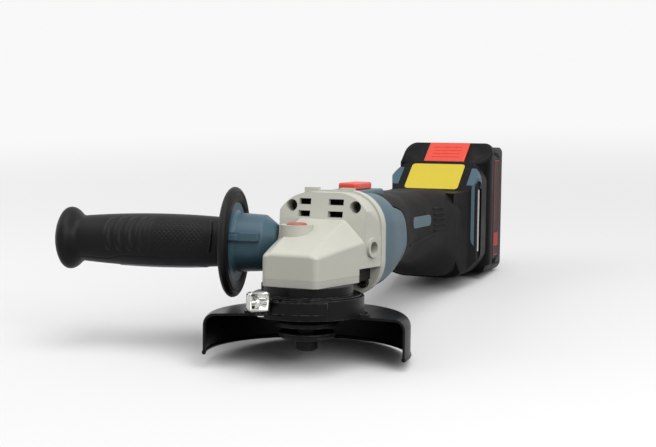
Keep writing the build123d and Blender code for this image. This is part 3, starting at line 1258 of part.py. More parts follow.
def battery_cells():
    """Row of cells lying across the pack."""
    y = PACK_BACK - PACK_WALL - CELL_R - 0.4
    cells = []
    for z in cell_heights():
        cell = xcyl(CELL_R, -CELL_LENGTH / 2, CELL_LENGTH / 2 - 1.5, y, z)
        cell += xcyl(CELL_R * 0.5, CELL_LENGTH / 2 - 1.5, CELL_LENGTH / 2, y, z)
        cells.append(cell)
    return group(cells)


def cell_holder():
    """Two plates that hold the ends of the cells, and the board's posts."""
    y = PACK_BACK - PACK_WALL - CELL_R - 0.4
    holder_back = PACK_BACK - PACK_WALL - 0.2
    board_back = PACK_FRONT + SOCKET_DEEP + BOARD_GAP + BOARD_THICK
    plates = []
    for side in (-1, 1):
        outer = side * (PACK_HALF - PACK_WALL - HOLDER_PLAY)
        inner = outer - side * HOLDER_THICK
        plate = brick(min(outer, inner), max(outer, inner), board_back, holder_back, 14, 104)
        for z in cell_heights():
            plate -= xcyl(CELL_R + HOLDER_PLAY, -100, 100, y, z)
        plates.append(plate)
    return group(plates)


def battery_board():
    """Circuit board behind the contact socket."""
    front = PACK_FRONT + SOCKET_DEEP + BOARD_GAP
    half = PACK_HALF - PACK_WALL - HOLDER_PLAY - 0.2
    return brick(-half, half, front, front + BOARD_THICK, 24, 84)


def battery_contacts():
    """Fork contacts that grip the tool's blades from both sides."""
    board = PACK_FRONT + SOCKET_DEEP + BOARD_GAP
    tip = PACK_FRONT + 1.4
    low = TERMINAL_LOW + 8
    high = TERMINAL_LOW + TERMINAL_HIGH - 1
    contacts = []
    for x in blade_places():
        for side in (-1, 1):
            near = x + side * (BLADE_THICK / 2 + 0.15)
            far = near + side * 0.6
            contacts.append(brick(min(near, far), max(near, far), tip, board, low, high))
    return group(contacts)


# ---------------------------------------------------------------- assembly
def build():
    """Make every sub-part."""
    keep("gear_case", gear_case())
    keep("bearing_cover", bearing_cover())
    keep("guard_neck", guard_neck())
    keep("cover_screws", group([
        Pos(x, y, 0) * screw_z(COVER_SCREW_R, NECK_PLATE_LOW, CASE_LOW, 2.8, 1.8)
        for x, y in cover_screw_places()
    ]))
    keep("spindle_top_bush", zcyl(BUSH_R, MOTOR_Z - 1.2, MOTOR_Z - 1.2 + BUSH_LENGTH)
         - zcyl(TOP_JOURNAL_R + TOUCH, 0, 100))
    keep("spindle_seal", zcyl(SEAL_R, COVER_HUB_LOW + 0.3, LOWER_BEARING_Z) - zcyl(SHOULDER_R + 0.15, 0, 100))
    bearings = (
        ("spindle", JOURNAL_R, LOWER_BEARING_R, LOWER_BEARING_WIDTH, BALLS, Pos(0, 0, LOWER_BEARING_Z)),
        ("rotor_front", SHAFT_R, FRONT_BEARING_R, FRONT_BEARING_WIDTH, BALLS - 1,
         rotor_place(FRONT_BEARING_Y)),
        ("rotor_rear", REAR_JOURNAL_R, REAR_BEARING_R, REAR_BEARING_WIDTH, BALLS - 1,
         rotor_place(END_CAP_FRONT + END_CAP_THICK)),
    )
    for label, bore, outside, width, balls, place in bearings:
        outer, inner = ball_bearing(bore, outside, width, balls, place)
        keep(label + "_bearing_outer", outer)
        keep(label + "_bearing_inner", inner)
    screws = []
    for x, z in case_screw_places():
        screw = ycyl(CASE_SCREW_R, FLANGE_FRONT + 1.5, CASE_BACK, x, z)
        head_front = FLANGE_FRONT - (CASE_SCREW_HEAD_LONG if z > MOTOR_Z else CASE_SCREW_HEAD_SHORT)
        head = ycyl(CASE_SCREW_HEAD_R, head_front, FLANGE_FRONT + 1.5, x, z)
        socket = Pos(x, head_front, z) * Rot(-90, 0, 0) * extrude(RegularPolygon(1.9, 6), 1.8)
        screws.append(screw + head - socket)
    keep("gear_case_screws", group(screws))
    keep("spindle", spindle())
    keep("bevel_gear", bevel_gear())
    keep("inner_flange", inner_flange())
    keep("clamp_nut", clamp_nut())
    keep("rotor_shaft", rotor_shaft())
    keep("pinion", pinion())
    keep("fan", fan())
    keep("rotor_core", ycyl(STATOR_BORE_R - ROTOR_PLAY, STATOR_FRONT, STATOR_FRONT + STATOR_LENGTH)
         - ycyl(SHAFT_R, 0, 200))
    core, coils = stator_parts()
    keep("stator_core", core)
    keep("stator_windings", coils)
    keep("motor_end_cap", motor_end_cap())
    keep("fan_shroud", fan_shroud())
    keep("guard_shell", guard_shell())
    keep("guard_collar", guard_collar())
    keep("guard_rivets", guard_rivets())
    keep("clamp_bracket", clamp_bracket())
    keep("clamp_pin", clamp_pin())
    keep("clamp_lever", clamp_lever())
    keep("clamp_buckle", clamp_buckle())
    keep("lock_button", lock_button())
    keep("lock_spring", lock_spring())
    stud, core, grip = handle_parts()
    keep("handle_stud", stud)
    keep("handle_core", core)
    keep("handle_grip", grip)
    shell, rubber, floors, trims, strips = housing_parts()
    left, right = halves(shell)
    keep("motor_housing_left", left)
    keep("motor_housing_right", right)
    floor_left, floor_right = halves(floors)
    left, right = halves(rubber)
    keep("grip_cover_left", group([left, floor_left]))
    keep("grip_cover_right", group([right, floor_right]))
    keep("housing_trims", trims)
    keep("side_strips", strips)
    keep("housing_screws", housing_screws())
    keep("receiver_frame", receiver_frame())
    keep("label_panel", label_panel())
    keep("slide_switch", slide_switch())
    keep("switch_link", switch_link())
    keep("switch_block", switch_block())
    keep("controller", brick(
        -CONTROLLER_HALF, CONTROLLER_HALF, CONTROLLER_FRONT, CONTROLLER_FRONT + CONTROLLER_LENGTH,
        CONTROLLER_LOW, CONTROLLER_LOW + CONTROLLER_HIGH))
    keep("terminal_block", terminal_block())
    keep("terminal_blades", terminal_blades())
    front, back = battery_case()
    keep("battery_case_front", front)
    keep("battery_case_back", back)
    keep("battery_inlays", battery_inlays())
    keep("battery_cells", battery_cells())
    keep("cell_holder", cell_holder())
    keep("battery_board", battery_board())
    keep("battery_contacts", battery_contacts())
    keep("battery_latch", battery_latch())


build()
os.makedirs("parts", exist_ok=True)
for name, shape in PARTS.items():
    export_step(shape, f"parts/{name}.step")
print(len(PARTS), "sub-parts")
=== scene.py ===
"""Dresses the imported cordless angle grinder: finishes, softened edges, relief, floor, light and camera."""

import json
import logging
from collections.abc import Sequence
from dataclasses import dataclass, field
from enum import Enum
from math import atan, atan2, cos, hypot, pi, radians, sin

import bmesh
import bpy
from mathutils import Matrix, Vector
from mathutils.bvhtree import BVHTree


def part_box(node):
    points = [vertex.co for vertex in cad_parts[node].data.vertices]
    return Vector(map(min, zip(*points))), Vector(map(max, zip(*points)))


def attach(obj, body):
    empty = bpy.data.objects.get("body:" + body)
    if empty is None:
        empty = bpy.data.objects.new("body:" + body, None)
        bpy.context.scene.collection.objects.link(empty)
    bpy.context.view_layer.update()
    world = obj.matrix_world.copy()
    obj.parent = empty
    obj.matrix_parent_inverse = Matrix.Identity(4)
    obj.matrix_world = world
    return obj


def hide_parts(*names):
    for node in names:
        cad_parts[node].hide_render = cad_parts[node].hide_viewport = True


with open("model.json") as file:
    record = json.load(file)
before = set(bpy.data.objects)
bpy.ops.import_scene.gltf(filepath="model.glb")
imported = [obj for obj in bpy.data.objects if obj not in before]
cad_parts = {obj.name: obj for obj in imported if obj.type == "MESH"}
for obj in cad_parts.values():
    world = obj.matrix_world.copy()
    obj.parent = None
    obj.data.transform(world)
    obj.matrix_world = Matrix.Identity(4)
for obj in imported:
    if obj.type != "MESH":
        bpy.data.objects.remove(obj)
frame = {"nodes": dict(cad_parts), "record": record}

LOG = logging.getLogger("grinder")
MM = 0.001
SHARP_DEGREES = 38.0        # folds sharper than this keep a hard line in the shading
WELD = 2e-6                 # corners closer than this many metres are one
FLAT_DEGREES = 0.05         # faces that meet flatter than this become one before rounding
OUTSIDE = 0.2               # a distance from the middle that is outside the tool, in metres
Colour = tuple[float, float, float, float]
Point = tuple[float, float, float]
Box = tuple[Point, Point]
BLACK: Colour = (0.0, 0.0, 0.0, 1.0)
WHITE: Colour = (1.0, 1.0, 1.0, 1.0)


def linear(red: int, green: int, blue: int) -> Colour:
    """Turns a display colour into a scene colour.

    Args:
        red: display red, 0 to 255.
        green: display green, 0 to 255.
        blue: display blue, 0 to 255.

    Returns:
        The linear colour with full alpha.
    """
    def channel(value: int) -> float:
        """One channel through the display curve."""
        share = value / 255.0
        return share / 12.92 if share <= 0.04045 else ((share + 0.055) / 1.055) ** 2.4

    return channel(red), channel(green), channel(blue), 1.0


def smooth_step(low: float, high: float, value: float) -> float:
    """Eased share of value between low and high, from 0 to 1."""
    share = min(1.0, max(0.0, (value - low) / (high - low)))
    return share * share * (3.0 - 2.0 * share)


def bump_at(value: float, centre: float, half_width: float) -> float:
    """Rounded hill of height 1 at centre, 0 from half_width away."""
    share = abs(value - centre) / half_width
    return 0.0 if share >= 1.0 else (1.0 - share * share) ** 2


# ---------------------------------------------------------------- scene and mesh helpers
def place_in_scene(name: str, data: bpy.types.ID) -> bpy.types.Object:
    """Puts a new object in the scene.

    Args:
        name: the object's name.
        data: its mesh, lamp or camera.

    Returns:
        The object.
    """
    item = bpy.data.objects.new(name, data)
    bpy.context.scene.collection.objects.link(item)
    return item


def join_rows(work: bmesh.types.BMesh, rows: Sequence[Sequence[bmesh.types.BMVert | None]],
              closed: bool = False) -> None:
    """Joins rows of corners with four-sided faces, leaving out faces that lack a corner.

    Args:
        work: mesh that takes the faces.
        rows: rows of corners, all of one length.
        closed: whether each row is a ring.
    """
    for upper, lower in zip(rows, rows[1:]):
        if closed:
            upper, lower = [*upper, upper[0]], [*lower, lower[0]]
        for corners in zip(upper, upper[1:], lower[1:], lower):
            if all(corners):
                work.faces.new(corners)


def add_block(work: bmesh.types.BMesh, corners: Sequence[Vector | Point]) -> None:
    """Adds a closed block.

    Args:
        work: mesh that takes the block.
        corners: its eight corners, in the order of three nested loops over its directions.
    """
    a, b, c, d, e, f, g, h = [work.verts.new(corner) for corner in corners]
    for face in ((a, b, d, c), (e, g, h, f), (a, c, g, e), (b, f, h, d), (a, e, f, b), (c, d, h, g)):
        work.faces.new(face)


# ---------------------------------------------------------------- shader helpers
def feed(tree: bpy.types.NodeTree, value: object, slot: bpy.types.NodeSocket) -> None:
    """Gives an input its value.

    Args:
        tree: the node tree.
        value: another node's output, or the number or colour itself.
        slot: the input.
    """
    if isinstance(value, bpy.types.NodeSocket):
        tree.links.new(value, slot)
    else:
        slot.default_value = value


def reckon(tree: bpy.types.NodeTree, kind: str, first: object,
           second: object = 0.0) -> bpy.types.NodeSocket:
    """Math node.

    Args:
        tree: the node tree.
        kind: the operation.
        first: socket or number.
        second: socket or number.

    Returns:
        The node's output.
    """
    node = tree.nodes.new("ShaderNodeMath")
    node.operation = kind
    feed(tree, first, node.inputs[0])
    feed(tree, second, node.inputs[1])
    return node.outputs[0]


def mix_colours(tree: bpy.types.NodeTree, share: bpy.types.NodeSocket, first: object,
                second: object) -> bpy.types.NodeSocket:
    """Mixes two colours by a mask.

    Args:
        tree: the node tree.
        share: the mask.
        first: colour or socket at 0.
        second: colour or socket at 1.

    Returns:
        The mixed colour.
    """
    node = tree.nodes.new("ShaderNodeMix")
    node.data_type = "RGBA"
    tree.links.new(share, node.inputs["Factor"])
    feed(tree, first, node.inputs["A"])
    feed(tree, second, node.inputs["B"])
    return node.outputs["Result"]


# ---------------------------------------------------------------- shared effects
class Effect(Enum):
    """Shader effects that several finishes share."""

    GRAIN = "surface_grain"
    WEAR = "edge_wear"
    SMUDGE = "handling_smudges"
    RINGS = "lathe_rings"
    DUST = "settled_dust"


@dataclass
class EffectShelf:
    """Builds each shared node group once and hands it out.

    Attributes:
        groups: the groups made so far.
        edge_gain: how soon an edge counts as sharp enough to be rubbed.
        patch: noise level below which an edge stays whole, and how hard the patches' borders are.
        handling: noise level at which the smudges start, and how hard their borders are.
    """

    groups: dict[Effect, bpy.types.NodeTree] = field(default_factory=dict)
    edge_gain: float = 9.0
    patch: tuple[float, float] = (0.42, 5.0)
    handling: tuple[float, float] = (0.3, 2.5)

    def get(self, effect: Effect) -> bpy.types.NodeTree:
        """Finds a node group, built on first use.

        Args:
            effect: which effect.

        Returns:
            The shader node group.
        """
        if effect not in self.groups:
            makers = {
                Effect.GRAIN: self._grain, Effect.WEAR: self._wear, Effect.SMUDGE: self._smudge,
                Effect.RINGS: self._rings, Effect.DUST: self._dust,
            }
            self.groups[effect] = makers[effect]()
        return self.groups[effect]

    def _tree(self, effect: Effect, inputs: dict[str, float], outputs: Sequence[str]) -> bpy.types.NodeTree:
        """Empty group with float sockets.

        Args:
            effect: names the group.
            inputs: socket names with their default values.
            outputs: names of the float outputs.

        Returns:
            The group, holding its input and output nodes.
        """
        tree = bpy.data.node_groups.new(effect.value, "ShaderNodeTree")
        for name, value in inputs.items():
            socket = tree.interface.new_socket(name, in_out="INPUT", socket_type="NodeSocketFloat")
            socket.default_value = value
        for name in outputs:
            tree.interface.new_socket(name, in_out="OUTPUT", socket_type="NodeSocketFloat")
        tree.nodes.new("NodeGroupInput").name = "in"
        tree.nodes.new("NodeGroupOutput").name = "out"
        return tree

    @staticmethod
    def _within_one(tree: bpy.types.NodeTree, value: bpy.types.NodeSocket) -> bpy.types.NodeSocket:
        """The value, kept between 0 and 1."""
        return reckon(tree, "MINIMUM", reckon(tree, "MAXIMUM", value, 0.0), 1.0)

    @staticmethod
    def _noise(tree: bpy.types.NodeTree, scale: object, detail: float,
               rough: float) -> bpy.types.NodeSocket:
        """Noise over object coordinates.

        Args:
            tree: the group.
            scale: socket or number, features per metre.
            detail: octaves.
            rough: share of the finer octaves.

        Returns:
            The noise value.
        """
        place = tree.nodes.new("ShaderNodeTexCoord")
        noise = tree.nodes.new("ShaderNodeTexNoise")
        noise.inputs["Detail"].default_value = detail
        noise.inputs["Roughness"].default_value = rough
        tree.links.new(place.outputs["Object"], noise.inputs["Vector"])
        feed(tree, scale, noise.inputs["Scale"])
        return noise.outputs["Fac"]

    def _grain(self) -> bpy.types.NodeTree:
        """Fine moulded or cast grain: a height for bumps and a tone for colour.

        Returns:
            The node group.
        """
        tree = self._tree(Effect.GRAIN, {"Scale": 900.0, "Mottle Scale": 60.0}, ("Height", "Tone"))
        source = tree.nodes["in"]
        place = tree.nodes.new("ShaderNodeTexCoord")
        cells = tree.nodes.new("ShaderNodeTexVoronoi")
        cells.feature = "SMOOTH_F1"
        tree.links.new(place.outputs["Object"], cells.inputs["Vector"])
        tree.links.new(source.outputs["Scale"], cells.inputs["Scale"])
        fine = self._noise(tree, source.outputs["Scale"], detail=3.0, rough=0.6)
        height = reckon(tree, "ADD", reckon(tree, "MULTIPLY", cells.outputs["Distance"], 0.5), fine)
        tone = self._noise(tree, source.outputs["Mottle Scale"], detail=4.0, rough=0.55)
        tree.links.new(height, tree.nodes["out"].inputs["Height"])
        tree.links.new(tone, tree.nodes["out"].inputs["Tone"])
        return tree

    def _wear(self) -> bpy.types.NodeTree:
        """Rubbed edges: the rounded normal against the true one, broken up by noise.

        Returns:
            The node group.
        """
        tree = self._tree(Effect.WEAR, {"Radius": 0.0008, "Amount": 0.5}, ("Mask",))
        source = tree.nodes["in"]
        rounded = tree.nodes.new("ShaderNodeBevel")
        rounded.samples = 4
        tree.links.new(source.outputs["Radius"], rounded.inputs["Radius"])
        plain = tree.nodes.new("ShaderNodeNewGeometry")
        dot = tree.nodes.new("ShaderNodeVectorMath")
        dot.operation = "DOT_PRODUCT"
        tree.links.new(rounded.outputs["Normal"], dot.inputs[0])
        tree.links.new(plain.outputs["Normal"], dot.inputs[1])
        level, gain = self.patch
        edge = reckon(tree, "SUBTRACT", 1.0, dot.outputs["Value"])
        edge = reckon(tree, "MULTIPLY", edge, self.edge_gain)
        patchy = reckon(tree, "SUBTRACT", self._noise(tree, 260.0, detail=5.0, rough=0.65), level)
        patchy = reckon(tree, "MULTIPLY", patchy, gain)
        worn = reckon(tree, "MULTIPLY", edge, reckon(tree, "MAXIMUM", patchy, 0.0))
        worn = reckon(tree, "MULTIPLY", worn, source.outputs["Amount"])
        tree.links.new(self._within_one(tree, worn), tree.nodes["out"].inputs["Mask"])
        return tree

    def _smudge(self) -> bpy.types.NodeTree:
        """Slow change of gloss from handling.

        Returns:
            The node group.
        """
        tree = self._tree(Effect.SMUDGE, {"Low": 0.4, "High": 0.6, "Scale": 25.0}, ("Roughness",))
        source = tree.nodes["in"]
        level, gain = self.handling
        broad = self._noise(tree, source.outputs["Scale"], detail=5.0, rough=0.6)
        share = reckon(tree, "MULTIPLY", reckon(tree, "SUBTRACT", broad, level), gain)
        share = self._within_one(tree, share)
        span = reckon(tree, "SUBTRACT", source.outputs["High"], source.outputs["Low"])
        result = reckon(tree, "ADD", reckon(tree, "MULTIPLY", share, span), source.outputs["Low"])
        tree.links.new(result, tree.nodes["out"].inputs["Roughness"])
        return tree

    def _rings(self) -> bpy.types.NodeTree:
        """Tool marks of the lathe: fine rings round the spindle axis.

        Returns:
            The node group.
        """
        tree = self._tree(Effect.RINGS, {"Pitch": 4200.0}, ("Height",))
        place = tree.nodes.new("ShaderNodeTexCoord")
        parts = tree.nodes.new("ShaderNodeSeparateXYZ")
        tree.links.new(place.outputs["Object"], parts.inputs[0])
        square_x = reckon(tree, "MULTIPLY", parts.outputs["X"], parts.outputs["X"])
        square_y = reckon(tree, "MULTIPLY", parts.outputs["Y"], parts.outputs["Y"])
        reach = reckon(tree, "SQRT", reckon(tree, "ADD", square_x, square_y))
        reach = reckon(tree, "ADD", reach, parts.outputs["Z"])
        turns = reckon(tree, "MULTIPLY", reach, tree.nodes["in"].outputs["Pitch"])
        wave = reckon(tree, "SINE", turns)
        blur = self._noise(tree, 500.0, detail=2.0, rough=0.5)
        tree.links.new(reckon(tree, "MULTIPLY", wave, blur), tree.nodes["out"].inputs["Height"])
        return tree

    def _dust(self) -> bpy.types.NodeTree:
        """Fine dust on faces that look up.

        Returns:
            The node group.
        """
        tree = self._tree(Effect.DUST, {"Amount": 0.2}, ("Mask",))
        shape = tree.nodes.new("ShaderNodeNewGeometry")
        parts = tree.nodes.new("ShaderNodeSeparateXYZ")
        tree.links.new(shape.outputs["Normal"], parts.inputs[0])
        up = reckon(tree, "MAXIMUM", parts.outputs["Z"], 0.0)
        up = reckon(tree, "MULTIPLY", up, self._noise(tree, 120.0, detail=6.0, rough=0.7))
        result = reckon(tree, "MULTIPLY", up, tree.nodes["in"].outputs["Amount"])
        tree.links.new(result, tree.nodes["out"].inputs["Mask"])
        return tree


# ---------------------------------------------------------------- finishes
@dataclass(frozen=True)
class Finish:
    """One procedural finish: a Principled shader fed by the shared effects.

    Attributes:
        name: material name.
        slot: the record's material slot; not used.
        colour: main colour.
        shade: second colour of the mottling.
        gloss: roughness at its shiniest and dullest.
        metallic: 0 for coats and plastics, 1 for bare metal.
        coat: weight of a clear coat.
        specular: level of the plain reflection.
        grain: features per metre of the fine grain.
        depth: depth of the grain in millimetres.
        worn: colour that shows where edges are rubbed.
        wear: how much of the edges is rubbed.
        dust: share of settled dust on top faces.
        rings: depth of lathe marks in millimetres.
    """

    name: str
    slot: str
    colour: Colour
    shade: Colour
    gloss: tuple[float, float] = (0.45, 0.6)
    metallic: float = 0.0
    coat: float = 0.0
    specular: float = 0.5
    grain: float = 900.0
    depth: float = 0.05
    worn: Colour = (0.3, 0.3, 0.3, 1.0)
    wear: float = 0.0
    dust: float = 0.0
    rings: float = 0.0

    COAT_GLOSS = 0.12
    MOTTLE = 55.0
    RUBBED_RADIUS = 0.9 * MM
    DUST_COLOUR = linear(190, 186, 178)

    @staticmethod
    def _group(tree: bpy.types.NodeTree, shelf: EffectShelf, effect: Effect,
               values: dict[str, float]) -> bpy.types.Node:
        """Places a shared effect in this material with its own values.

        Args:
            tree: the material's node tree.
            shelf: where the effects are kept.
            effect: which effect.
            values: numbers for its inputs.

        Returns:
            The group node.
        """
        node = tree.nodes.new("ShaderNodeGroup")
        node.node_tree = shelf.get(effect)
        for name, value in values.items():
            node.inputs[name].default_value = value
        return node

    @staticmethod
    def _bump(tree: bpy.types.NodeTree, height: bpy.types.NodeSocket, depth: float) -> bpy.types.Node:
        """Bump node.

        Args:
            tree: the material's node tree.
            height: what it raises.
            depth: its depth in millimetres.

        Returns:
            The node.
        """
        bump = tree.nodes.new("ShaderNodeBump")
        bump.inputs["Distance"].default_value = depth * MM
        tree.links.new(height, bump.inputs["Height"])
        return bump

    def pattern(self, tree: bpy.types.NodeTree, base: bpy.types.NodeSocket) -> bpy.types.NodeSocket:
        """Hook for finishes that draw more on the base colour."""
        return base

    def material(self, shelf: EffectShelf) -> bpy.types.Material:
        """Builds the material.

        Args:
            shelf: the shared effects.

        Returns:
            The finished material.
        """
        made = bpy.data.materials.new(self.name)
        made.use_nodes = True
        tree = made.node_tree
        shader = tree.nodes["Principled BSDF"]
        shader.inputs["Metallic"].default_value = self.metallic
        shader.inputs["Specular IOR Level"].default_value = self.specular
        shader.inputs["Coat Weight"].default_value = self.coat
        shader.inputs["Coat Roughness"].default_value = self.COAT_GLOSS
        grain = self._group(tree, shelf, Effect.GRAIN, {"Scale": self.grain, "Mottle Scale": self.MOTTLE})
        base = mix_colours(tree, grain.outputs["Tone"], self.colour, self.shade)
        base = self.pattern(tree, base)
        if self.wear:
            edges = {"Radius": self.RUBBED_RADIUS, "Amount": self.wear}
            rubbed = self._group(tree, shelf, Effect.WEAR, edges)
            base = mix_colours(tree, rubbed.outputs["Mask"], base, self.worn)
        if self.dust:
            settled = self._group(tree, shelf, Effect.DUST, {"Amount": self.dust})
            base = mix_colours(tree, settled.outputs["Mask"], base, self.DUST_COLOUR)
        tree.links.new(base, shader.inputs["Base Color"])
        smudge = self._group(tree, shelf, Effect.SMUDGE, {"Low": self.gloss[0], "High": self.gloss[1]})
        tree.links.new(smudge.outputs["Roughness"], shader.inputs["Roughness"])
        bump = self._bump(tree, grain.outputs["Height"], self.depth)
        if self.rings:
            marks = self._group(tree, shelf, Effect.RINGS, {})
            turned = self._bump(tree, marks.outputs["Height"], self.rings)
            tree.links.new(bump.outputs["Normal"], turned.inputs["Normal"])
            bump = turned
        tree.links.new(bump.outputs["Normal"], shader.inputs["Normal"])
        return made


@dataclass(frozen=True)
class BandedFinish(Finish):
    """Finish with even bands along one axis, for wound wire and stacked sheet.

    Attributes:
        pitch: bands per metre.
        axis: name of the axis the bands follow.
        band: colour between the bands.
        edge: how hard the bands' borders are.
    """

    pitch: float = 1800.0
    axis: str = "Y"
    band: Colour = (0.02, 0.02, 0.02, 1.0)
    edge: float = 4.0

    def pattern(self, tree: bpy.types.NodeTree, base: bpy.types.NodeSocket) -> bpy.types.NodeSocket:
        """Draws the bands.

        Args:
            tree: the material's node tree.
            base: the colour so far.

        Returns:
            The banded colour.
        """
        place = tree.nodes.new("ShaderNodeTexCoord")
        parts = tree.nodes.new("ShaderNodeSeparateXYZ")
        tree.links.new(place.outputs["Object"], parts.inputs[0])
        turns = reckon(tree, "MULTIPLY", parts.outputs[self.axis], self.pitch)
        saw = reckon(tree, "PINGPONG", turns, 1.0)
        return mix_colours(tree, reckon(tree, "POWER", saw, self.edge), base, self.band)


class Palette:
    """Every finish of the tool, and the materials made from them."""

    CASE = Finish("warm_grey_casting_paint", "case_paint", linear(190, 190, 179), linear(181, 181, 170),
                  (0.38, 0.52), coat=0.08, grain=1500.0, depth=0.035, worn=linear(150, 150, 146), wear=0.25)
    COVER = Finish("bearing_cover_paint", "cover_paint", linear(178, 178, 168), linear(166, 166, 157),
                   (0.4, 0.55), coat=0.08, grain=1500.0, depth=0.035, worn=linear(140, 140, 136), wear=0.3)
    BLUE = Finish("slate_blue_moulding", "shell_blue", linear(66, 92, 105), linear(60, 86, 99),
                  (0.34, 0.46), specular=0.3, grain=2200.0, depth=0.02, worn=linear(120, 145, 158),
                  wear=0.12)
    RUBBER = Finish("overmoulded_rubber", "grip_rubber", linear(18, 17, 17), linear(14, 13, 13),
                    (0.5, 0.68), specular=0.08, grain=1100.0, depth=0.09, worn=linear(62, 60, 57),
                    wear=0.22, dust=0.02)
    HANDLE = Finish("handle_rubber", "handle_rubber", linear(22, 21, 20), linear(17, 16, 16),
                    (0.4, 0.55), specular=0.14, grain=1300.0, depth=0.05, worn=linear(60, 58, 55),
                    wear=0.18, dust=0.015)
    GUARD = Finish("glossy_black_steel_coat", "guard_black", linear(9, 9, 10), linear(6, 6, 7),
                   (0.28, 0.4), specular=0.14, grain=700.0, depth=0.015, worn=linear(70, 70, 70),
                   wear=0.1)
    CLAMP = Finish("satin_black_steel_coat", "clamp_black", linear(11, 11, 12), linear(8, 8, 9),
                   (0.26, 0.4), specular=0.14, grain=900.0, depth=0.02, worn=linear(104, 104, 102),
                   wear=0.4)
    BUCKLE = Finish("zinc_plated_buckle", "buckle_zinc", linear(214, 214, 210), linear(186, 186, 183),
                    (0.12, 0.24), metallic=1.0, grain=1400.0, depth=0.006, worn=linear(232, 232, 230),
                    wear=0.3)
    DARK_STEEL = Finish("blackened_turned_steel", "nut_steel", linear(22, 21, 21), linear(16, 16, 16),
                        (0.34, 0.5), metallic=0.2, specular=0.16, grain=1600.0, depth=0.015,
                        worn=linear(150, 148, 144), wear=0.5, rings=0.012)
    STEEL = Finish("bright_turned_steel", "bright_steel", linear(186, 187, 188), linear(168, 169, 170),
                   (0.2, 0.34), metallic=1.0, grain=1600.0, depth=0.01, rings=0.015)
    # dark finish painted into the castings' hollows and recesses as shade, not a colour the casting has
    HOLLOW_SHADE = Finish("painted_shade_hollow", "case_paint", linear(26, 25, 24), linear(18, 18, 17),
                    (0.55, 0.7), specular=0.1, grain=1500.0, depth=0.05)
    BEARING = Finish("ground_bearing_steel", "bearing_steel", linear(205, 206, 208), linear(190, 191, 193),
                     (0.12, 0.2), metallic=1.0, grain=1600.0, depth=0.005)
    GEAR = Finish("hardened_gear_steel", "gear_steel", linear(120, 119, 117), linear(96, 95, 94),
                  (0.3, 0.45), metallic=1.0, grain=1400.0, depth=0.02, worn=linear(200, 200, 198), wear=0.5)
    SCREW = Finish("blackened_screw", "dark_screw", linear(20, 19, 19), linear(14, 14, 13),
                   (0.35, 0.5), metallic=0.2, specular=0.2, grain=1600.0, depth=0.015,
                   worn=linear(150, 148, 144), wear=0.5)
    BUSH = Finish("sintered_bush", "bush_brass", linear(190, 150, 88), linear(168, 130, 74),
                  (0.35, 0.5), metallic=1.0, grain=2400.0, depth=0.03)
    SEAL = Finish("seal_rubber", "seal_rubber", linear(28, 28, 28), linear(22, 22, 22), (0.5, 0.65))
    RED = Finish("red_switch_moulding", "switch_red", linear(222, 80, 60), linear(212, 72, 54),
                 (0.34, 0.46), grain=2000.0, depth=0.02, worn=linear(246, 150, 130), wear=0.15)
    LOCK = Finish("red_lock_moulding", "lock_red", linear(172, 92, 82), linear(162, 84, 75),
                  (0.34, 0.46), grain=2000.0, depth=0.02, worn=linear(220, 150, 140), wear=0.2)
    LATCH = Finish("red_latch_moulding", "latch_red", linear(222, 70, 50), linear(213, 63, 45),
                   (0.28, 0.4), grain=2000.0, depth=0.02, worn=linear(250, 150, 130), wear=0.15)
    LABEL = Finish("plain_yellow_panel", "label_yellow", linear(204, 183, 30), linear(197, 176, 26),
                   (0.28, 0.4), coat=0.2, grain=1200.0, depth=0.008)
    PACK = Finish("battery_case_moulding", "pack_black", linear(19, 19, 20), linear(15, 15, 16),
                  (0.36, 0.5), specular=0.06, grain=1800.0, depth=0.025, worn=linear(70, 70, 70),
                  wear=0.22, dust=0.015)
    INLAY = Finish("battery_inlay_grey", "inlay_grey", linear(52, 46, 47), linear(46, 41, 42),
                   (0.4, 0.52), specular=0.08, grain=2000.0, depth=0.015)
    INLAY_RED = Finish("battery_inlay_red", "inlay_grey", linear(176, 62, 58), linear(166, 56, 52),
                       (0.4, 0.52), specular=0.1, grain=2000.0, depth=0.015)
    STRIP = Finish("pale_grey_strip", "strip_grey", linear(190, 193, 190), linear(178, 182, 180),
                   (0.34, 0.48), grain=2000.0, depth=0.015)
    HANDLE_STRIP = Finish("handle_inset_grey", "handle_rubber", linear(122, 128, 146),
                          linear(112, 118, 136), (0.4, 0.52), grain=2000.0, depth=0.02)
    INNER = Finish("inner_moulding", "inner_plastic", linear(40, 40, 42), linear(34, 34, 36), (0.45, 0.6))
    FAN = Finish("fan_moulding", "fan_plastic", linear(60, 60, 62), linear(52, 52, 54), (0.42, 0.56))
    SPRING = Finish("spring_wire", "spring_steel", linear(150, 152, 154), linear(130, 132, 134),
                    (0.25, 0.4), metallic=1.0, depth=0.01)
    SHEET = BandedFinish("stacked_laminations", "lamination", linear(112, 110, 106), linear(96, 94, 92),
                         (0.35, 0.5), metallic=0.8, pitch=2000.0, axis="Y", band=linear(44, 42, 40))
    COPPER = BandedFinish("enamelled_windings", "copper_wire", linear(184, 104, 52), linear(164, 88, 42),
                          (0.22, 0.34), metallic=0.6, coat=0.4, pitch=1500.0, axis="Z",
                          band=linear(84, 40, 16))
    CELL = BandedFinish("cell_wrap", "cell_wrap", linear(58, 128, 120), linear(50, 116, 110),
                        (0.25, 0.38), pitch=16.0, axis="X", band=linear(214, 214, 210))
    BOARD = Finish("circuit_board", "board_green", linear(34, 88, 58), linear(28, 78, 50), (0.25, 0.38))
    CONTACT = Finish("sprung_contact_metal", "contact_brass", linear(206, 172, 104), linear(188, 154, 90),
                     (0.22, 0.36), metallic=1.0, depth=0.01)

    def __init__(self) -> None:
        """Starts with no material made."""
        self.shelf = EffectShelf()
        self.made: dict[str, bpy.types.Material] = {}

    def material(self, finish: Finish) -> bpy.types.Material:
        """Finds or builds the material of a finish.

        Args:
            finish: the finish.

        Returns:
            Its material.
        """
        if finish.name not in self.made:
            self.made[finish.name] = finish.material(self.shelf)
        return self.made[finish.name]


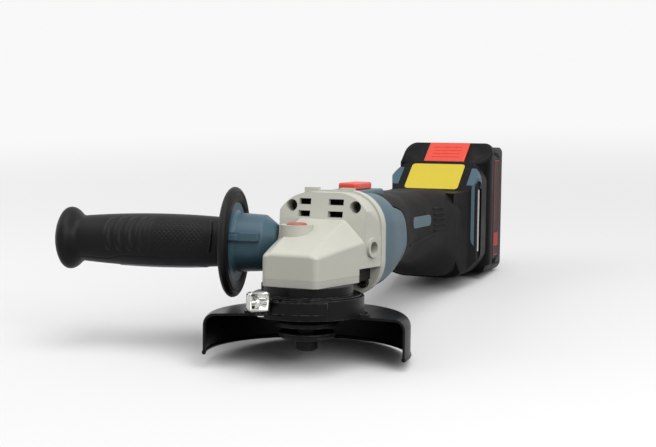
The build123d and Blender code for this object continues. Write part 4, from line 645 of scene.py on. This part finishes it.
# ---------------------------------------------------------------- mesh work
class Side(Enum):
    """The two sides of the tool, as the sign of X."""

    LEFT = -1
    RIGHT = 1


@dataclass
class Bench:
    """Makes pieces, softens edges, dresses them and reports them."""

    palette: Palette
    home: dict[str, str] = field(default_factory=dict)

    def __post_init__(self) -> None:
        """Notes the body of every node."""
        for body, nodes in frame["record"]["behaviour"]["bodies"].items():
            for node in nodes:
                self.home[node] = body

    def finish_piece(self, piece: bpy.types.Object, body: str, finish: Finish) -> bpy.types.Object:
        """Dresses a piece and lets it ride on its body.

        Args:
            piece: the new object.
            body: the CAD body it moves with.
            finish: its finish.

        Returns:
            The same object.
        """
        piece.data.materials.clear()
        piece.data.materials.append(self.palette.material(finish))
        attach(piece, body)
        LOG.info("piece %s rides on %s", piece.name, body)
        return piece

    def add(self, name: str, mesh: bmesh.types.BMesh, body: str, finish: Finish,
            smooth: bool = True) -> bpy.types.Object:
        """Turns finished mesh work into a piece.

        Args:
            name: the piece's name.
            mesh: its geometry in metres.
            body: the CAD body it moves with.
            finish: its finish.
            smooth: whether its faces shade smoothly, with creases kept sharp.

        Returns:
            The new object.
        """
        data = bpy.data.meshes.new(name)
        bmesh.ops.recalc_face_normals(mesh, faces=mesh.faces)
        mesh.to_mesh(data)
        mesh.free()
        if smooth:
            data.shade_smooth()
            data.set_sharp_from_angle(angle=radians(SHARP_DEGREES))
        return self.finish_piece(place_in_scene(name, data), body, finish)

    def soften(self, node: str, finish: Finish, width: float = 0.4, segments: int = 2,
               angle: float = 32.0) -> bpy.types.Object:
        """Stands a copy with rounded edges in for a CAD node.

        Args:
            node: the CAD node.
            finish: the finish of the copy.
            width: width of the rounding in millimetres, or 0 for none.
            segments: faces across the rounding.
            angle: edges sharper than this many degrees are rounded.

        Returns:
            The piece that replaces the node.
        """
        work = bmesh.new()
        work.from_mesh(frame["nodes"][node].data)
        bmesh.ops.remove_doubles(work, verts=work.verts, dist=WELD)
        if width:
            bmesh.ops.dissolve_limit(work, angle_limit=radians(FLAT_DEGREES), verts=work.verts,
                                     edges=work.edges)
        data = bpy.data.meshes.new(node + "_dressed")
        work.to_mesh(data)
        work.free()
        data.shade_smooth()
        piece = place_in_scene(node + "_dressed", data)
        if width:
            bevel = piece.modifiers.new("rounding", "BEVEL")
            bevel.width = width * MM
            bevel.segments = segments
            bevel.limit_method = "ANGLE"
            bevel.angle_limit = radians(angle)
            bevel.harden_normals = True
        even = piece.modifiers.new("even_normals", "WEIGHTED_NORMAL")
        even.keep_sharp = True
        self.finish_piece(piece, self.home[node], finish)
        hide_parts(node)
        return piece

    def shade_inside(self, piece: bpy.types.Object, finish: Finish, *boxes: Box) -> None:
        """Gives the faces inside some boxes a second finish, used here for dark painted shade in hollows.

        Args:
            piece: a piece that already has its first finish.
            finish: the finish of the hollow, a dark painted shade.
            boxes: lowest and highest corners in millimetres.
        """
        piece.data.materials.append(self.palette.material(finish))
        for face in piece.data.polygons:
            place = face.center / MM
            for low, high in boxes:
                if all(a < c < b for a, c, b in zip(low, place, high)):
                    face.material_index = 1

    def recolour(self, finish: Finish, *nodes: str) -> None:
        """Gives CAD nodes that keep their mesh a material.

        Args:
            finish: the finish.
            nodes: the CAD nodes.
        """
        for node in nodes:
            data = frame["nodes"][node].data
            data.materials.clear()
            data.materials.append(self.palette.material(finish))
            LOG.info("node %s wears %s", node, finish.name)

    def skin(self, *nodes: str) -> BVHTree:
        """Gathers the surfaces of some CAD nodes, to lay relief on.

        Args:
            nodes: the CAD nodes.

        Returns:
            A search tree over their faces.
        """
        points: list[Vector] = []
        faces: list[list[int]] = []
        for node in nodes:
            data = frame["nodes"][node].data
            start = len(points)
            points.extend(v.co.copy() for v in data.vertices)
            faces.extend([start + i for i in face.vertices] for face in data.polygons)
        return BVHTree.FromPolygons(points, faces)

    def laid_on(self, work: bmesh.types.BMesh, skin: BVHTree, side: Side,
                rows: Sequence[Sequence[Point]]) -> None:
        """Lays a grid of points on a side surface.

        Args:
            work: mesh that takes the faces.
            skin: the surface.
            side: which side of the tool.
            rows: rows of (y, z, height over the surface), in millimetres.
        """
        sign = side.value
        grid: list[list[bmesh.types.BMVert | None]] = []
        for row in rows:
            line: list[bmesh.types.BMVert | None] = []
            for y, z, height in row:
                hit = skin.ray_cast(Vector((sign * OUTSIDE, y * MM, z * MM)), Vector((-sign, 0, 0)))[0]
                line.append(work.verts.new((hit.x + sign * height * MM, hit.y, hit.z)) if hit else None)
            grid.append(line)
        join_rows(work, grid)


@dataclass
class Assembly:
    """A sub-assembly of the tool that dresses itself."""

    bench: Bench

    def build(self) -> None:
        """Builds and dresses every piece of the sub-assembly."""
        raise NotImplementedError


@dataclass
class GearHead(Assembly):
    """Painted gear case with cover, guard neck, screws and lock button.

    Attributes:
        case_round: width of the case's rounded edges, in millimetres.
        cover_round: that of the bearing cover.
        button_round: that of the lock button.
        vent_room: the hollow behind the vents, darkened with painted shade.
        waist_sides: the recesses beside the case's foot, darkened with painted shade.
    """

    case_round: float = 0.9
    cover_round: float = 0.8
    button_round: float = 0.5
    vent_room: Box = ((-17.7, 27.4, 64.4), (17.7, 38.0, 79.4))
    waist_sides: tuple[Box, ...] = (
        ((26.0, 14.0, 15.0), (60.0, 39.45, 35.6)), ((-60.0, 14.0, 15.0), (-26.0, 39.45, 35.6)),
    )

    def build(self) -> None:
        """Rounds the castings, paints shade into their hollows and dresses what is inside them."""
        bench, look = self.bench, self.bench.palette
        case = bench.soften("gear_case", look.CASE, self.case_round, segments=3)
        # the hollow behind the vents and the recesses at the case's foot get a dark painted shade
        bench.shade_inside(case, look.HOLLOW_SHADE, self.vent_room, *self.waist_sides)
        cover = bench.soften("bearing_cover", look.COVER, self.cover_round)
        # the cover's part of the foot recesses gets the same painted shade
        bench.shade_inside(cover, look.HOLLOW_SHADE, *self.waist_sides)
        bench.soften("guard_neck", look.CLAMP, width=0.3)
        bench.soften("cover_screws", look.SCREW, width=0.2)
        bench.soften("gear_case_screws", look.SCREW, width=0.3)
        bench.soften("lock_button", look.LOCK, self.button_round)
        bench.recolour(look.SPRING, "lock_spring")
        bench.recolour(look.BUSH, "spindle_top_bush")
        bench.recolour(look.SEAL, "spindle_seal")
        bench.recolour(look.BEARING, "spindle_bearing_outer", "spindle_bearing_inner",
                       "rotor_front_bearing_outer", "rotor_front_bearing_inner",
                       "rotor_rear_bearing_outer", "rotor_rear_bearing_inner")
        bench.recolour(look.GEAR, "bevel_gear", "pinion")


@dataclass
class SpindleSet(Assembly):
    """Spindle end with its flange and clamping nut.

    Attributes:
        edge: width of the turned edges, in millimetres.
    """

    edge: float = 0.5

    def build(self) -> None:
        """Dresses the turned parts."""
        bench, look = self.bench, self.bench.palette
        bench.soften("spindle", look.DARK_STEEL, width=0.3)
        bench.soften("inner_flange", look.DARK_STEEL, self.edge)
        bench.soften("clamp_nut", look.DARK_STEEL, self.edge)


@dataclass
class Guard(Assembly):
    """Pressed guard with its collar, quick clamp and buckle.

    Attributes:
        steel_round: width of the clamp steel's rounded edges, in millimetres.
    """

    steel_round: float = 0.35

    def build(self) -> None:
        """Dresses guard and clamp."""
        bench, look = self.bench, self.bench.palette
        bench.soften("guard_shell", look.GUARD, width=0.5)
        bench.soften("guard_collar", look.CLAMP, self.steel_round)
        bench.soften("guard_rivets", look.CLAMP, width=0.25)
        bench.soften("clamp_bracket", look.CLAMP, self.steel_round)
        bench.soften("clamp_pin", look.BUCKLE, width=0.2)
        bench.soften("clamp_lever", look.CLAMP, self.steel_round)
        bench.soften("clamp_buckle", look.BUCKLE, width=0.0)


@dataclass(frozen=True)
class GripRelief:
    """Moulded pattern of the handle's rubber: crescent ribs, hatching, a bracket line and the seam.

    Stations run along the handle in millimetres, and turns are degrees from its top, either way round.

    Attributes:
        ribs: station and rise of each crescent rib.
        rib_half: half width of a rib.
        rib_bow: how far a rib's ends reach back.
        opens: turns over which the pattern rises, seen from the top.
        closes: turns over which it ends again.
        middle: turn of the pattern's middle.
        reach: turn from there to its edge.
        hatch_starts: stations over which the hatching rises.
        hatch_ends: stations over which it ends.
        hatch_pitch: distance between its lines.
        hatch_slant: millimetres that a line moves along for each degree.
        hatch_rise: its height.
        bracket: station, bow, half width and rise of the line in front of the hatching.
        seam_turns: the seam's turn before and after its step.
        seam_steps: stations over which it steps aside.
        seam_starts: stations over which it begins.
        seam: half width and depth of the seam.
    """

    ribs: tuple[tuple[float, float], ...] = (
        (113.5, 1.15), (106.0, 1.15), (98.5, 1.15), (91.5, 0.8), (85.5, 0.55),
    )
    rib_half: float = 2.7
    rib_bow: float = 3.2
    opens: tuple[float, float] = (26.0, 36.0)
    closes: tuple[float, float] = (104.0, 114.0)
    middle: float = 72.0
    reach: float = 45.0
    hatch_starts: tuple[float, float] = (45.5, 48.5)
    hatch_ends: tuple[float, float] = (80.0, 83.0)
    hatch_pitch: float = 3.1
    hatch_slant: float = 0.30
    hatch_rise: float = 0.6
    bracket: tuple[float, float, float, float] = (42.0, 2.2, 1.1, 0.9)
    seam_turns: tuple[float, float] = (124.0, 136.0)
    seam_steps: tuple[float, float] = (103.0, 116.0)
    seam_starts: tuple[float, float] = (36.0, 44.0)
    seam: tuple[float, float] = (2.6, 0.45)

    def height(self, along: float, turn: float) -> float:
        """Height of the pattern at a place on the grip.

        Args:
            along: station in millimetres.
            turn: angle from the top in radians, either way round.

        Returns:
            The height over the plain grip in millimetres.
        """
        turned = abs(turn) * 180.0 / pi
        window = smooth_step(*self.opens, turned) * (1.0 - smooth_step(*self.closes, turned))
        bow = ((turned - self.middle) / self.reach) ** 2
        height = 0.0
        for centre, rise in self.ribs:
            height += rise * bump_at(along, centre - self.rib_bow * bow, self.rib_half)
        zone = smooth_step(*self.hatch_starts, along) * (1.0 - smooth_step(*self.hatch_ends, along))
        hatch = 1.0
        for slant in (self.hatch_slant, -self.hatch_slant):
            hatch *= max(0.0, sin((along + slant * turned) * 2 * pi / self.hatch_pitch))
        height += self.hatch_rise * zone * hatch
        station, bracket_bow, half, rise = self.bracket
        height += rise * bump_at(along, station + bracket_bow * bow, half)
        height *= window
        first, last = self.seam_turns
        seam_at = first + (last - first) * smooth_step(*self.seam_steps, along)
        half, depth = self.seam
        return height - depth * bump_at(turned, seam_at, half) * smooth_step(*self.seam_starts, along)


@dataclass
class SideHandle(Assembly):
    """Screw-in side handle: blue hub, hand disc and ribbed rubber grip.

    The grip is turned round the handle's own axis; stations are measured along it from the boss.
    Sizes are in millimetres, and angles in degrees.

    Attributes:
        start: where the axis leaves the gear case.
        splay: turn of the axis from square towards the front.
        disc_at, disc_back, disc_radius: the hand disc's front, back and radius.
        face_radius: radius of the blue face that the disc's rim holds.
        root_radius: radius of the grip where it leaves the disc.
        belly, neck: station and radius of the grip's thickest place and of its thinnest.
        knob_at, knob_radius: station and radius of the end knob.
        length: station of the far end.
        ledge_start: where the ledges on the hub begin.
        around, step: corners in each ring of the grip, and distance between rings.
        relief: the moulded pattern.
        strip_span, strip_half, strip_end: the inset strip's stations, half width as a turn, and the
            length of its rounded ends.
        strip_cells: faces along and across the strip.
        strip_proud, strip_sunk: height of its middle over the grip, and of its hidden border.
    """

    start: Point = (-33.5, 29.0, 47.6)
    splay: float = 13.0
    disc_at: float = 28.3
    disc_back: float = 33.3
    disc_radius: float = 36.6
    face_radius: float = 26.5
    root_radius: float = 16.0
    belly: tuple[float, float] = (80.0, 17.8)
    neck: tuple[float, float] = (134.0, 15.35)
    knob_at: float = 144.5
    knob_radius: float = 21.0
    length: float = 154.3
    ledge_start: float = 9.0
    around: int = 192
    step: float = 0.5
    relief: GripRelief = GripRelief()
    strip_span: tuple[float, float] = (47.5, 109.0)
    strip_half: float = 26.0
    strip_end: float = 7.0
    strip_cells: tuple[int, int] = (80, 24)
    strip_proud: float = 0.45
    strip_sunk: float = -0.4

    def place(self, along: float, radius: float, turn: float) -> Vector:
        """Point on the handle.

        Args:
            along: station in millimetres.
            radius: distance from the axis in millimetres.
            turn: angle from the top towards the front, in radians.

        Returns:
            The point in metres.
        """
        lean = radians(self.splay)
        axis = Vector((-cos(lean), -sin(lean), 0.0))
        front = Vector((sin(lean), -cos(lean), 0.0))
        out = Vector((0.0, 0.0, 1.0)) * cos(turn) + front * sin(turn)
        return (Vector(self.start) + axis * along + out * radius) * MM

    def radius_at(self, along: float) -> float:
        """Radius of the plain grip between disc and knob.

        Args:
            along: station in millimetres.

        Returns:
            The radius in millimetres.
        """
        (belly_at, belly), (neck_at, neck) = self.belly, self.neck
        if along < belly_at:
            share = (belly_at - along) / (belly_at - self.disc_back)
            return belly - (belly - self.root_radius) * share * share
        share = (along - belly_at) / (neck_at - belly_at)
        return belly - (belly - neck) * share * share

    def rim(self) -> list[tuple[float, float]]:
        """Outline of the disc's rubber, from its face round the rim to the grip's root.

        Returns:
            Stations and radii in millimetres.
        """
        edge, root = self.disc_radius, self.root_radius
        front, back = self.disc_at - 0.8, self.disc_back
        return [
            (self.disc_at + 0.2, self.face_radius - 0.2), (front + 0.6, self.face_radius + 0.3),
            (front, self.face_radius + 1.1), (front, edge - 4.6), (front + 0.5, edge - 4.0),
            (front + 0.5, edge - 3.4), (front, edge - 2.8), (front + 0.35, edge - 1.5),
            (front + 1.1, edge - 0.6), (front + 2.2, edge - 0.1), (front + 3.4, edge),
            (back - 2.3, edge - 0.1), (back - 1.2, edge - 0.6), (back - 0.4, edge - 1.6),
            (back, edge - 3.0), (back, root + 3.0), (back + 0.25, root + 1.7), (back + 0.8, root + 0.7),
        ]

    def knob(self) -> list[tuple[float, float]]:
        """Outline of the end knob, from the grip's neck to the middle of the end.

        Returns:
            Stations and radii in millimetres.
        """
        end = self.length - self.knob_at
        turned = [
            (-9.9, 15.45), (-8.5, 16.0), (-7.1, 16.95), (-5.8, 18.2), (-4.6, 19.3), (-3.3, 20.2),
            (-1.9, 20.8), (-0.5, self.knob_radius), (0.8, 20.85), (1.9, 20.3), (2.8, 19.5), (3.0, 18.9),
            (3.2, 18.5), (3.9, 17.8), (4.7, 16.4), (5.5, 14.6), (6.3, 12.2), (7.0, 9.6),
            (7.0, 9.0), (7.4, 8.5), (8.4, 5.8), (end, 2.4), (end, 0.6),
        ]
        return [(self.knob_at + step, radius) for step, radius in turned]

    def profile(self) -> list[tuple[float, float, bool]]:
        """Stations of the handle's rubber from the disc's face to the end.

        Returns:
            (along, radius, whether the grip's relief applies) in millimetres.
        """
        stations = [(along, radius, False) for along, radius in self.rim()]
        along = self.disc_back + 1.8
        while along < self.neck[0] - 0.01:
            stations.append((along, self.radius_at(along), True))
            along += self.step
        stations.extend((along, radius, False) for along, radius in self.knob())
        return stations

    def rubber(self) -> bmesh.types.BMesh:
        """Turns the profile and presses the relief into it.

        Returns:
            The mesh of the rubber.
        """
        work = bmesh.new()
        rows: list[list[bmesh.types.BMVert]] = []
        for along, radius, shaped in self.profile():
            row = []
            for i in range(self.around):
                turn = 2 * pi * i / self.around - pi
                reach = radius + (self.relief.height(along, turn) if shaped else 0.0)
                row.append(work.verts.new(self.place(along, reach, turn)))
            rows.append(row)
        join_rows(work, rows, closed=True)
        work.faces.new(rows[-1])
        return work

    def strip(self) -> bmesh.types.BMesh:
        """Grey inset strip under the grip, with rounded ends and a hidden border.

        Returns:
            The mesh of the strip.
        """
        work = bmesh.new()
        first, last = self.strip_span
        steps, across = self.strip_cells
        rows = []
        for i in range(steps + 1):
            along = first + (last - first) * i / steps
            share = min(1.0, min(along - first, last - along) / self.strip_end)
            reach = self.strip_half * (1.0 - (1.0 - share) ** 2) ** 0.5
            row = []
            for k in range(across + 1):
                turn = pi + radians(reach) * (2.0 * k / across - 1.0)
                crown = self.strip_proud if 0 < k < across and 0 < i < steps else self.strip_sunk
                row.append(work.verts.new(self.place(along, self.radius_at(along) + crown, turn)))
            rows.append(row)
        join_rows(work, rows)
        bmesh.ops.remove_doubles(work, verts=work.verts, dist=1e-6)
        return work

    def ledge(self) -> bmesh.types.BMesh:
        """Flat ledges along the front and back of the hub, with a thinner rib across the disc's face.

        Returns:
            The mesh of the ledges.
        """
        work = bmesh.new()
        end = self.disc_at + 0.2
        # each block: stations along the axis, distances ahead of it, heights over it
        blocks = (
            ((self.ledge_start, end), (14.0, 22.4), (2.6, 8.2)),
            ((self.disc_at - 6.0, end), (20.0, 25.4), (3.2, 7.2)),
        )
        for flip in (-1, 1):
            for stations, aheads, rises in blocks:
                add_block(work, [
                    self.place(along, hypot(ahead, rise), flip * atan2(ahead, rise))
                    for along in stations for ahead in aheads for rise in rises
                ])
        bmesh.ops.recalc_face_normals(work, faces=work.faces)
        bmesh.ops.bevel(work, geom=list(work.edges), offset=0.5 * MM, segments=3, affect="EDGES")
        return work

    def build(self) -> None:
        """Builds the rubber with its relief and dresses hub and stud."""
        bench, look = self.bench, self.bench.palette
        grip = bench.add("handle_grip_rubber", self.rubber(), "side_handle", look.HANDLE)
        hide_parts("handle_grip")
        bench.add("handle_inset_strip", self.strip(), "side_handle", look.HANDLE_STRIP)
        bench.soften("handle_core", look.BLUE, width=0.6, segments=3)
        bench.soften("handle_stud", look.STEEL, width=0.3)
        bench.add("handle_hub_ledge", self.ledge(), "side_handle", look.BLUE)


@dataclass
class Housing(Assembly):
    """Blue motor housing with the rubber grip moulded over it, switch and rear block.

    Attributes:
        crease: (y, z) points of the crease low on each side, in millimetres.
        crease_size: half width and rise of the crease.
        rib_levels: height of each rib on the rear of the grip.
        rib_span: where the ribs begin and end along the tool.
        rib_size: half width and rise of a rib.
        sunk: how deep the borders of a ridge lie in the rubber.
        spacing: about how far apart the rows of a ridge are.
    """

    crease: tuple[tuple[float, float], ...] = (
        (112.0, 41.5), (130.0, 43.0), (148.0, 44.8), (166.0, 46.2), (184.0, 47.6),
    )
    rib_levels: tuple[float, ...] = (49.0, 53.0, 57.0, 61.0, 65.0)
    rib_span: tuple[float, float] = (166.0, 194.0)
    crease_size: tuple[float, float] = (1.3, 0.8)
    rib_size: tuple[float, float] = (1.2, 1.0)
    sunk: float = 0.3
    spacing: float = 1.2

    def ridge(self, work: bmesh.types.BMesh, skin: BVHTree, side: Side,
              path: Sequence[tuple[float, float]], size: tuple[float, float]) -> None:
        """Rounded ridge along a line on a side of the grip.

        Args:
            work: mesh that takes the faces.
            skin: the surface it lies on.
            side: which side.
            path: (y, z) points in millimetres.
            size: half width and rise.
        """
        half, rise = size
        fine: list[tuple[float, float]] = []
        for (y0, z0), (y1, z1) in zip(path, path[1:]):
            count = max(2, round(hypot(y1 - y0, z1 - z0) / self.spacing))
            fine.extend((y0 + (y1 - y0) * i / count, z0 + (z1 - z0) * i / count) for i in range(count))
        fine.append(path[-1])
        rows = []
        for index, (y, z) in enumerate(fine):
            before, after = fine[max(0, index - 1)], fine[min(len(fine) - 1, index + 1)]
            run, lift = after[0] - before[0], after[1] - before[1]
            length = hypot(run, lift)
            across = (-lift / length, run / length)
            fade = min(1.0, index / 3.0, (len(fine) - 1 - index) / 3.0)
            row = []
            for k in range(-4, 5):
                share = k / 4.0
                crown = cos(share * pi / 2) ** 0.8 if abs(k) < 4 else 0.0
                height = (rise + self.sunk) * crown * fade - self.sunk
                row.append((y + across[0] * share * half, z + across[1] * share * half, height))
            rows.append(row)
        self.bench.laid_on(work, skin, side, rows)

    def relief(self) -> None:
        """Lays the crease and the ribs on both sides of the grip."""
        bench, look = self.bench, self.bench.palette
        skin = bench.skin("grip_cover_left", "grip_cover_right", "housing_trims")
        creases, ribs = bmesh.new(), bmesh.new()
        for side in Side:
            self.ridge(creases, skin, side, self.crease, self.crease_size)
            for level in self.rib_levels:
                self.ridge(ribs, skin, side, [(y, level) for y in self.rib_span], self.rib_size)
        bench.add("grip_creases", creases, "body", look.RUBBER)
        bench.add("grip_side_ribs", ribs, "body", look.RUBBER)

    def build(self) -> None:
        """Rounds the mouldings and lays the relief on them."""
        bench, look = self.bench, self.bench.palette
        for node in ("motor_housing_left", "motor_housing_right"):
            bench.soften(node, look.BLUE, width=0.5)
        for node in ("grip_cover_left", "grip_cover_right"):
            bench.soften(node, look.RUBBER, width=0.5)
        bench.soften("housing_trims", look.BLUE, width=0.35)
        bench.soften("side_strips", look.STRIP, width=0.3)
        bench.soften("housing_screws", look.SCREW, width=0.2)
        bench.soften("receiver_frame", look.PACK, width=0.5)
        bench.soften("label_panel", look.LABEL, width=0.12)
        bench.soften("slide_switch", look.RED, width=0.35)
        self.relief()
        bench.recolour(look.INNER, "switch_link", "switch_block", "terminal_block", "motor_end_cap",
                       "fan_shroud")
        bench.recolour(look.BOARD, "controller")
        bench.recolour(look.CONTACT, "terminal_blades")
        bench.recolour(look.FAN, "fan")
        bench.recolour(look.STEEL, "rotor_shaft")
        bench.recolour(look.SHEET, "rotor_core", "stator_core")
        bench.recolour(look.COPPER, "stator_windings")


@dataclass
class Battery(Assembly):
    """Battery pack with its latch and side inlays.

    Attributes:
        rim_wide: width of the inlay's red border, in millimetres.
        rim_margin: distance of the border from the inlay's edge.
        proud: how far border and block stand out of the inlay.
        block: lowest and highest z of the red block.
    """

    rim_wide: float = 0.8
    rim_margin: float = 0.9
    proud: float = 0.2
    block: tuple[float, float] = (27.0, 38.0)

    def plate(self, work: bmesh.types.BMesh, side: Side, face_x: float, span: tuple[float, float],
              rise: tuple[float, float]) -> None:
        """Thin plate lying on a side of the pack.

        Args:
            work: mesh that takes the plate.
            side: which side.
            face_x: distance of the side from the middle.
            span: lowest and highest y.
            rise: lowest and highest z.
        """
        sign = side.value
        depth = (face_x - self.proud, face_x + self.proud)
        add_block(work, [(sign * x * MM, y * MM, z * MM) for x in depth for y in span for z in rise])

    def trim(self) -> bmesh.types.BMesh:
        """Thin red border and a red block on the inlay of each side.

        Returns:
            The mesh of both sides.
        """
        low, high = (Vector(corner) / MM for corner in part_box("battery_inlays"))
        work = bmesh.new()
        front, back = low.y + self.rim_margin, high.y - self.rim_margin
        foot, head = low.z + self.rim_margin, high.z - self.rim_margin
        wide = self.rim_wide
        for side in Side:
            self.plate(work, side, high.x, (front, front + wide), (foot, head))
            self.plate(work, side, high.x, (back - wide, back), (foot, head))
            self.plate(work, side, high.x, (front + wide, back - wide), (foot, foot + wide))
            self.plate(work, side, high.x, (front + wide, back - wide), (head - wide, head))
            self.plate(work, side, high.x, (front + wide, back - wide), self.block)
        return work

    def build(self) -> None:
        """Lays the trim on the case and dresses the case and what is inside it."""
        bench, look = self.bench, self.bench.palette
        bench.add("battery_inlay_trim", self.trim(), "battery", look.INLAY_RED, smooth=False)
        bench.soften("battery_case_front", look.PACK, width=0.0)
        bench.soften("battery_case_back", look.PACK, width=0.0)
        bench.soften("battery_inlays", look.INLAY, width=0.3)
        bench.soften("battery_latch", look.LATCH, width=0.4)
        bench.recolour(look.CELL, "battery_cells")
        bench.recolour(look.INNER, "cell_holder")
        bench.recolour(look.BOARD, "battery_board")
        bench.recolour(look.CONTACT, "battery_contacts")


# ---------------------------------------------------------------- studio
@dataclass(frozen=True)
class SoftBox:
    """A square lamp.

    Attributes:
        name: its name.
        place: where it hangs, in metres.
        power: its power in watts.
        size: its width in metres.
    """

    name: str
    place: Point
    power: float
    size: float


@dataclass
class Studio:
    """Pale floor, soft light and the camera.

    Attributes:
        rest_y: where the guard touches the floor, in millimetres.
        rest_z: the floor's height there.
        slope: rise of the floor along Y, as the tool stands on guard and pack.
        floor_size: half width of the floor, in metres.
        floor_bounce: the floor's colour for light that falls on the tool.
        floor_colour: its colour as it is seen.
        fade_near: distance at which the floor starts to melt into the backdrop, in metres.
        fade_far: distance at which it has become the backdrop.
        backdrop: brightness of the backdrop, where 1 is white.
        world_light: strength of the even light on the tool.
        sun_power, sun_spread, sun_place: the sun's strength, its width in degrees and its direction.
        boxes: the soft boxes.
        target: where all the lamps look.
        eye: the camera's place in metres.
        yaw, pitch, roll: its turn to the left, its turn down and its lean, in degrees.
        lens, sensor: focal length and width of the image, in millimetres.
    """

    rest_y: float = 66.0
    rest_z: float = -18.9
    slope: float = 0.0926
    floor_size: float = 6.0
    floor_bounce: Colour = (0.14, 0.14, 0.14, 1.0)
    floor_colour: Colour = (0.725, 0.725, 0.727, 1.0)
    fade_near: float = 0.35
    fade_far: float = 1.8
    backdrop: float = 0.945
    world_light: float = 0.42
    sun_power: float = 1.8
    sun_spread: float = 50.0
    sun_place: Point = (0.25, -0.1, 1.0)
    boxes: tuple[SoftBox, ...] = (
        SoftBox("right_box", (0.9, -0.5, 0.6), 6.5, 0.7), SoftBox("left_box", (-0.9, -0.3, 0.7), 3.5, 0.8),
    )
    target: Point = (-0.02, 0.1, 0.04)
    eye: Point = (0.30938, -0.69967, 0.12136)
    yaw: float = 22.92
    pitch: float = 4.29
    roll: float = 0.67
    lens: float = 67.28
    sensor: float = 36.0

    def camera(self) -> None:
        """Sets the camera at its place."""
        yaw, pitch, roll = radians(self.yaw), radians(self.pitch), radians(self.roll)
        forward = Vector((-sin(yaw) * cos(pitch), cos(yaw) * cos(pitch), -sin(pitch)))
        right = Vector((cos(yaw), sin(yaw), 0.0))
        up = right.cross(forward)
        right, up = right * cos(roll) + up * sin(roll), up * cos(roll) - right * sin(roll)
        data = bpy.data.cameras.new("studio_camera")
        data.lens = self.lens
        data.sensor_width = self.sensor
        data.clip_end = 50.0
        camera = place_in_scene("studio_camera", data)
        camera.matrix_world = Matrix((
            (right.x, up.x, -forward.x, self.eye[0]),
            (right.y, up.y, -forward.y, self.eye[1]),
            (right.z, up.z, -forward.z, self.eye[2]),
            (0.0, 0.0, 0.0, 1.0),
        ))
        bpy.context.scene.camera = camera

    @staticmethod
    def _seen(tree: bpy.types.NodeTree) -> bpy.types.NodeSocket:
        """Tells rays that are seen from light that falls on the tool.

        Args:
            tree: the node tree.

        Returns:
            1 for rays from the camera, mirrors and glass, and 0 for the others.
        """
        path = tree.nodes.new("ShaderNodeLightPath")
        total = path.outputs["Is Camera Ray"]
        for name in ("Is Glossy Ray", "Is Transmission Ray"):
            total = reckon(tree, "MAXIMUM", total, path.outputs[name])
        return total

    def _floor_material(self) -> bpy.types.Material:
        """Pale floor that melts into the backdrop far away from the tool.

        Returns:
            The material.
        """
        made = bpy.data.materials.new("pale_floor")
        made.use_nodes = True
        tree = made.node_tree
        shader = tree.nodes["Principled BSDF"]
        shader.inputs["Roughness"].default_value = 0.8
        shader.inputs["Specular IOR Level"].default_value = 0.0
        seen = self._seen(tree)
        colour = mix_colours(tree, seen, self.floor_bounce, self.floor_colour)
        place = tree.nodes.new("ShaderNodeTexCoord")
        reach = tree.nodes.new("ShaderNodeVectorMath")
        reach.operation = "LENGTH"
        tree.links.new(place.outputs["Object"], reach.inputs[0])
        fade = tree.nodes.new("ShaderNodeMapRange")
        fade.interpolation_type = "SMOOTHSTEP"
        fade.inputs["From Min"].default_value = self.fade_near
        fade.inputs["From Max"].default_value = self.fade_far
        tree.links.new(reach.outputs["Value"], fade.inputs["Value"])
        far = fade.outputs["Result"]
        tree.links.new(mix_colours(tree, far, colour, BLACK), shader.inputs["Base Color"])
        glow = reckon(tree, "MULTIPLY", reckon(tree, "MULTIPLY", far, seen), self.backdrop)
        shader.inputs["Emission Color"].default_value = WHITE
        tree.links.new(glow, shader.inputs["Emission Strength"])
        return made

    def floor(self) -> None:
        """Large pale floor, tilted as the tool stands."""
        work = bmesh.new()
        bmesh.ops.create_grid(work, x_segments=8, y_segments=8, size=self.floor_size)
        data = bpy.data.meshes.new("studio_floor")
        work.to_mesh(data)
        work.free()
        floor = place_in_scene("studio_floor", data)
        floor.location = (0.0, self.rest_y * MM, self.rest_z * MM)
        floor.rotation_euler = (atan(self.slope), 0.0, 0.0)
        data.materials.append(self._floor_material())

    def lights(self) -> None:
        """Even world light, one broad sun and the soft boxes."""
        world = bpy.data.worlds.new("studio_world")
        bpy.context.scene.world = world
        world.use_nodes = True
        tree = world.node_tree
        back = tree.nodes["Background"]
        back.inputs["Color"].default_value = WHITE
        mix = tree.nodes.new("ShaderNodeMix")
        mix.data_type = "FLOAT"
        mix.inputs["A"].default_value = self.world_light
        mix.inputs["B"].default_value = self.backdrop
        tree.links.new(self._seen(tree), mix.inputs["Factor"])
        tree.links.new(mix.outputs["Result"], back.inputs["Strength"])
        sun = bpy.data.lights.new("overhead_sun", "SUN")
        sun.energy = self.sun_power
        sun.angle = radians(self.sun_spread)
        self._hang(sun, self.sun_place)
        for box in self.boxes:
            lamp = bpy.data.lights.new(box.name, "AREA")
            lamp.energy = box.power
            lamp.size = box.size
            self._hang(lamp, box.place)

    def _hang(self, lamp: bpy.types.Light, place: Point) -> None:
        """Hangs a lamp and aims it at the tool.

        Args:
            lamp: the light.
            place: where it hangs, in metres.
        """
        holder = place_in_scene(lamp.name, lamp)
        holder.location = place
        aim = Vector(self.target) - Vector(place)
        holder.rotation_euler = aim.to_track_quat("-Z", "Y").to_euler()

    def build(self) -> None:
        """Sets up the whole studio."""
        self.camera()
        self.floor()
        self.lights()
        bpy.context.scene.view_settings.view_transform = "Standard"


def main() -> None:
    """Builds every sub-assembly in order."""
    logging.basicConfig(level=logging.INFO, format="%(name)s: %(message)s")
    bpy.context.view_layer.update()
    bench = Bench(Palette())
    for kind in (GearHead, SpindleSet, Guard, SideHandle, Housing, Battery):
        kind(bench).build()
        LOG.info("built %s", kind.__name__)
    Studio().build()


if __name__ == "__main__":
    main()
